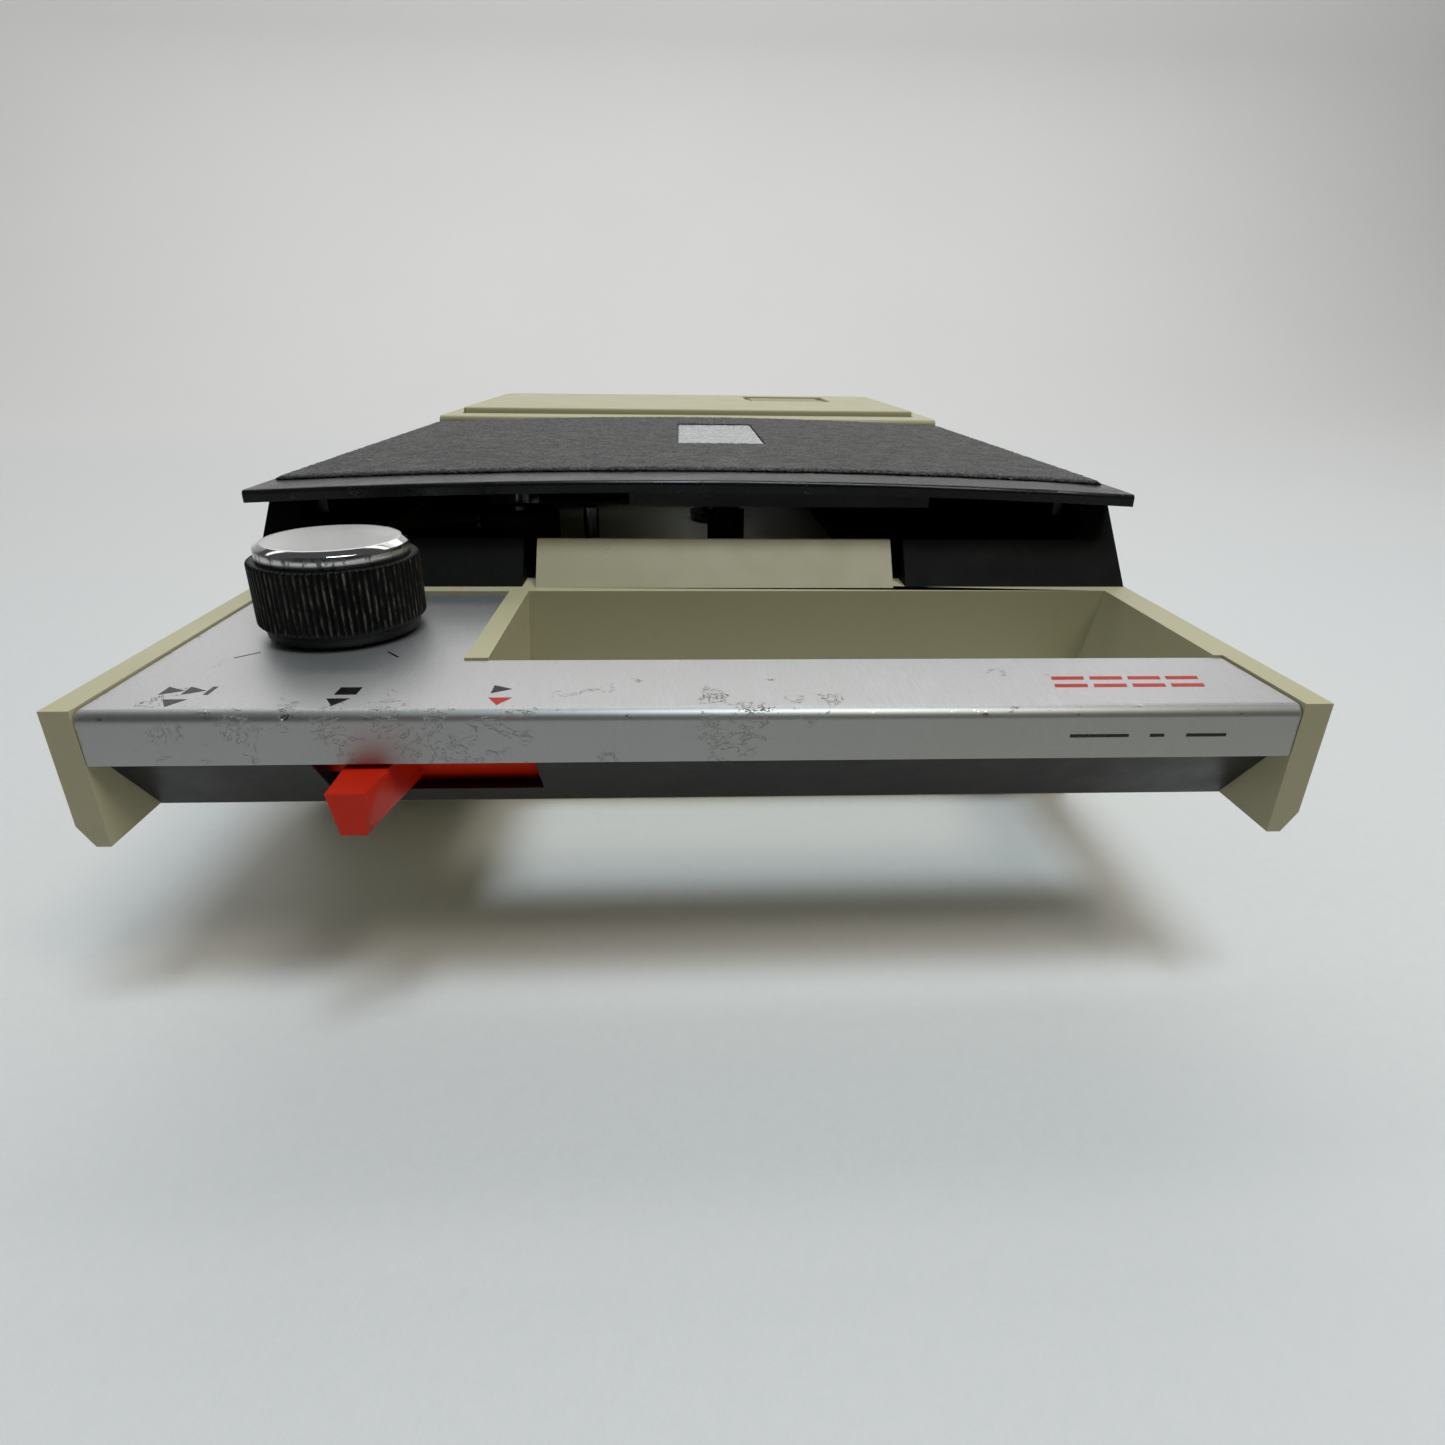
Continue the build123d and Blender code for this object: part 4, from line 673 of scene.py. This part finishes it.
def ink(name, outline, slot, z=None, thickness=0.02):
    """A flat printed shape on the plate's top, given as (x, y) points in mm."""
    top = plate_high.z + thickness * MM
    verts = [(x * MM, y * MM, top) for x, y in outline]
    verts += [(x * MM, y * MM, plate_high.z - 0.01 * MM) for x, y in outline]
    n = len(outline)
    faces = [tuple(range(n)), tuple(range(2 * n - 1, n - 1, -1))]
    faces += [(k, k + n, (k + 1) % n + n, (k + 1) % n) for k in range(n)]
    return mesh_object(name, verts, faces, "case", slot, False)


for name, x, slot in (("mark_forward", -52.7, "black_plastic"), ("mark_stop", -36.8, "black_plastic"),
                      ("mark_play", -20.8, "red_plastic")):
    ink(name, [(x, -106.85), (x + 1.2, -104.9), (x - 1.2, -104.9)], slot)

# Plain symbols behind the three marks: wind on, stop and play
for name, x, slot in (("sign_wind_a", -55.0, "black_plastic"), ("sign_wind_b", -52.8, "black_plastic"),
                      ("sign_play", -22.0, "black_plastic")):
    ink(name, [(x, -103.7), (x + 2.0, -102.6), (x, -101.5)], slot)
ink("sign_wind_bar", [(-50.6, -103.7), (-50.1, -103.7), (-50.1, -101.5), (-50.6, -101.5)], "black_plastic")
ink("sign_stop", [(-37.6, -103.9), (-35.4, -103.9), (-35.4, -101.9), (-37.6, -101.9)], "black_plastic")

# Two tick lines, end marks of the knob's travel
for name, start, end in (("tick_low", (-52.57, -92.78), (-50.48, -90.87)),
                         ("tick_high", (-36.21, -90.89), (-34.49, -92.74))):
    run = Vector((end[0] - start[0], end[1] - start[1])).normalized()
    side = (-run.y * 0.13, run.x * 0.13)
    ink(name, [(start[0] + side[0], start[1] + side[1]), (start[0] - side[0], start[1] - side[1]),
               (end[0] - side[0], end[1] - side[1]), (end[0] + side[0], end[1] + side[1])], "black_plastic")

# Three plain strokes on the plate's front face
for name, x0, x1 in (("stroke_left", 36.8, 42.9), ("stroke_middle", 45.1, 46.6), ("stroke_right", 48.9, 53.1)):
    y0, y1 = plate_low.y - 0.02 * MM, plate_low.y + 0.01 * MM
    z0, z1 = 33.95 * MM, 34.30 * MM
    corners = [(x0 * MM, z0), (x1 * MM, z0), (x1 * MM, z1), (x0 * MM, z1)]
    verts = [(x, y0, z) for x, z in corners] + [(x, y1, z) for x, z in corners]
    sides = [(k, k + 4, (k + 1) % 4 + 4, (k + 1) % 4) for k in range(4)]
    mesh_object(name, verts, [(0, 1, 2, 3), (7, 6, 5, 4), *sides], "case", "black_plastic", False)

# A plain ornament of slanting red bars at the right end
for k in range(4):
    for row, y in enumerate((-102.9, -100.7)):
        x = 37.0 + 4.25 * k + 0.5 * row
        ink(f"ornament_{k}_{row}", [(x, y), (x + 3.6, y), (x + 3.9, y + 0.95), (x + 0.3, y + 0.95)],
            "red_plastic")


# ======== floor, light and camera ========

verts = []
profile = [(-4.0, 0.0), (-1.0, 0.0), (0.0, 0.0), (0.55, 0.0)]
bend_radius = 0.75
for k in range(1, 19):
    turn = math.radians(5 * k)
    profile.append((0.55 + bend_radius * math.sin(turn), bend_radius * (1 - math.cos(turn))))
profile.append((0.55 + bend_radius, 1.2))
for y, z in profile:
    verts += [(-5.0, y, z), (5.0, y, z)]
faces = [(2 * k, 2 * k + 1, 2 * k + 3, 2 * k + 2) for k in range(len(profile) - 1)]
mesh = bpy.data.meshes.new("floor")
mesh.from_pydata(verts, [], faces)
mesh.materials.append(make_floor())
for face in mesh.polygons:
    face.use_smooth = True
floor = bpy.data.objects.new("floor", mesh)
bpy.context.scene.collection.objects.link(floor)
floor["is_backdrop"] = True

world = bpy.data.worlds.new("studio")
bpy.context.scene.world = world
world.use_nodes = True
background = world.node_tree.nodes["Background"]
background.inputs["Color"].default_value = (0.97, 0.99, 1.0, 1.0)
background.inputs["Strength"].default_value = 0.08


def softbox(name, place, aim, size, power, colour):
    light = bpy.data.lights.new(name, "AREA")
    light.shape = "RECTANGLE"
    light.size, light.size_y = size
    light.energy = power
    light.color = colour
    obj = bpy.data.objects.new(name, light)
    bpy.context.scene.collection.objects.link(obj)
    obj.location = place
    obj.rotation_mode = "QUATERNION"
    obj.rotation_quaternion = (Vector(aim) - Vector(place)).to_track_quat("-Z", "Y")
    return obj


softbox("cool_above", (0.10, -0.29, 0.90), (0.0, -0.05, 0.0), (0.34, 0.18), 3.8, (0.82, 0.93, 1.0))
softbox("warm_front", (0.40, -0.50, 0.90), (0.0, -0.05, 0.0), (0.34, 0.22), 2.5, (1.0, 0.94, 0.82))
softbox("low_back", (0.0, 0.92, 0.80), (0.0, 0.0, 0.0), (1.8, 0.5), 2.9, (1.0, 0.99, 0.95))
softbox("sweep_wash", (-0.25, 0.70, 1.20), (-0.30, 1.3, 0.35), (3.0, 0.6), 9.5, (1.0, 0.98, 0.95))

# Dark cards where a photographer would stand; they dull the front faces and the near floor
for name, x0, x1, y, z0, z1 in (("near_card", 0.05, 0.28, -0.20, 0.03, 0.11),
                                ("far_card", -0.35, 0.45, -0.42, 0.0, 0.45)):
    mesh = bpy.data.meshes.new(name)
    mesh.from_pydata([(x0, y, z0), (x1, y, z0), (x1, y - 0.02, z1), (x0, y - 0.02, z1)], [], [(0, 1, 2, 3)])
    mesh.materials.append(finishes["black_rubber"])
    card = bpy.data.objects.new(name, mesh)
    bpy.context.scene.collection.objects.link(card)
    card.visible_camera = False
    card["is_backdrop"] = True

camera = bpy.data.objects.new("camera", bpy.data.cameras.new("camera"))
bpy.context.scene.collection.objects.link(camera)
bpy.context.scene.camera = camera
camera.data.sensor_width = 36.0
camera.data.lens = 21.38
camera.data.clip_start = 0.005
camera.data.clip_end = 50.0
yaw, pitch, roll = -0.0498, 0.4194, -0.0133
ahead = Vector((-math.sin(yaw) * math.cos(pitch), math.cos(yaw) * math.cos(pitch), -math.sin(pitch)))
right = Vector((math.cos(yaw), math.sin(yaw), 0.0))
down = ahead.cross(right)
turned_right = math.cos(roll) * right + math.sin(roll) * down
turned_down = -math.sin(roll) * right + math.cos(roll) * down
axes = Matrix((turned_right, -turned_down, -ahead)).transposed().to_4x4()
camera.matrix_world = Matrix.Translation((-2.37 * MM, -185.81 * MM, 70.40 * MM)) @ axes

scene = bpy.context.scene
scene.view_settings.view_transform = "Standard"
scene.view_settings.look = "None"
scene.view_settings.exposure = 0.0

low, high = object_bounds()
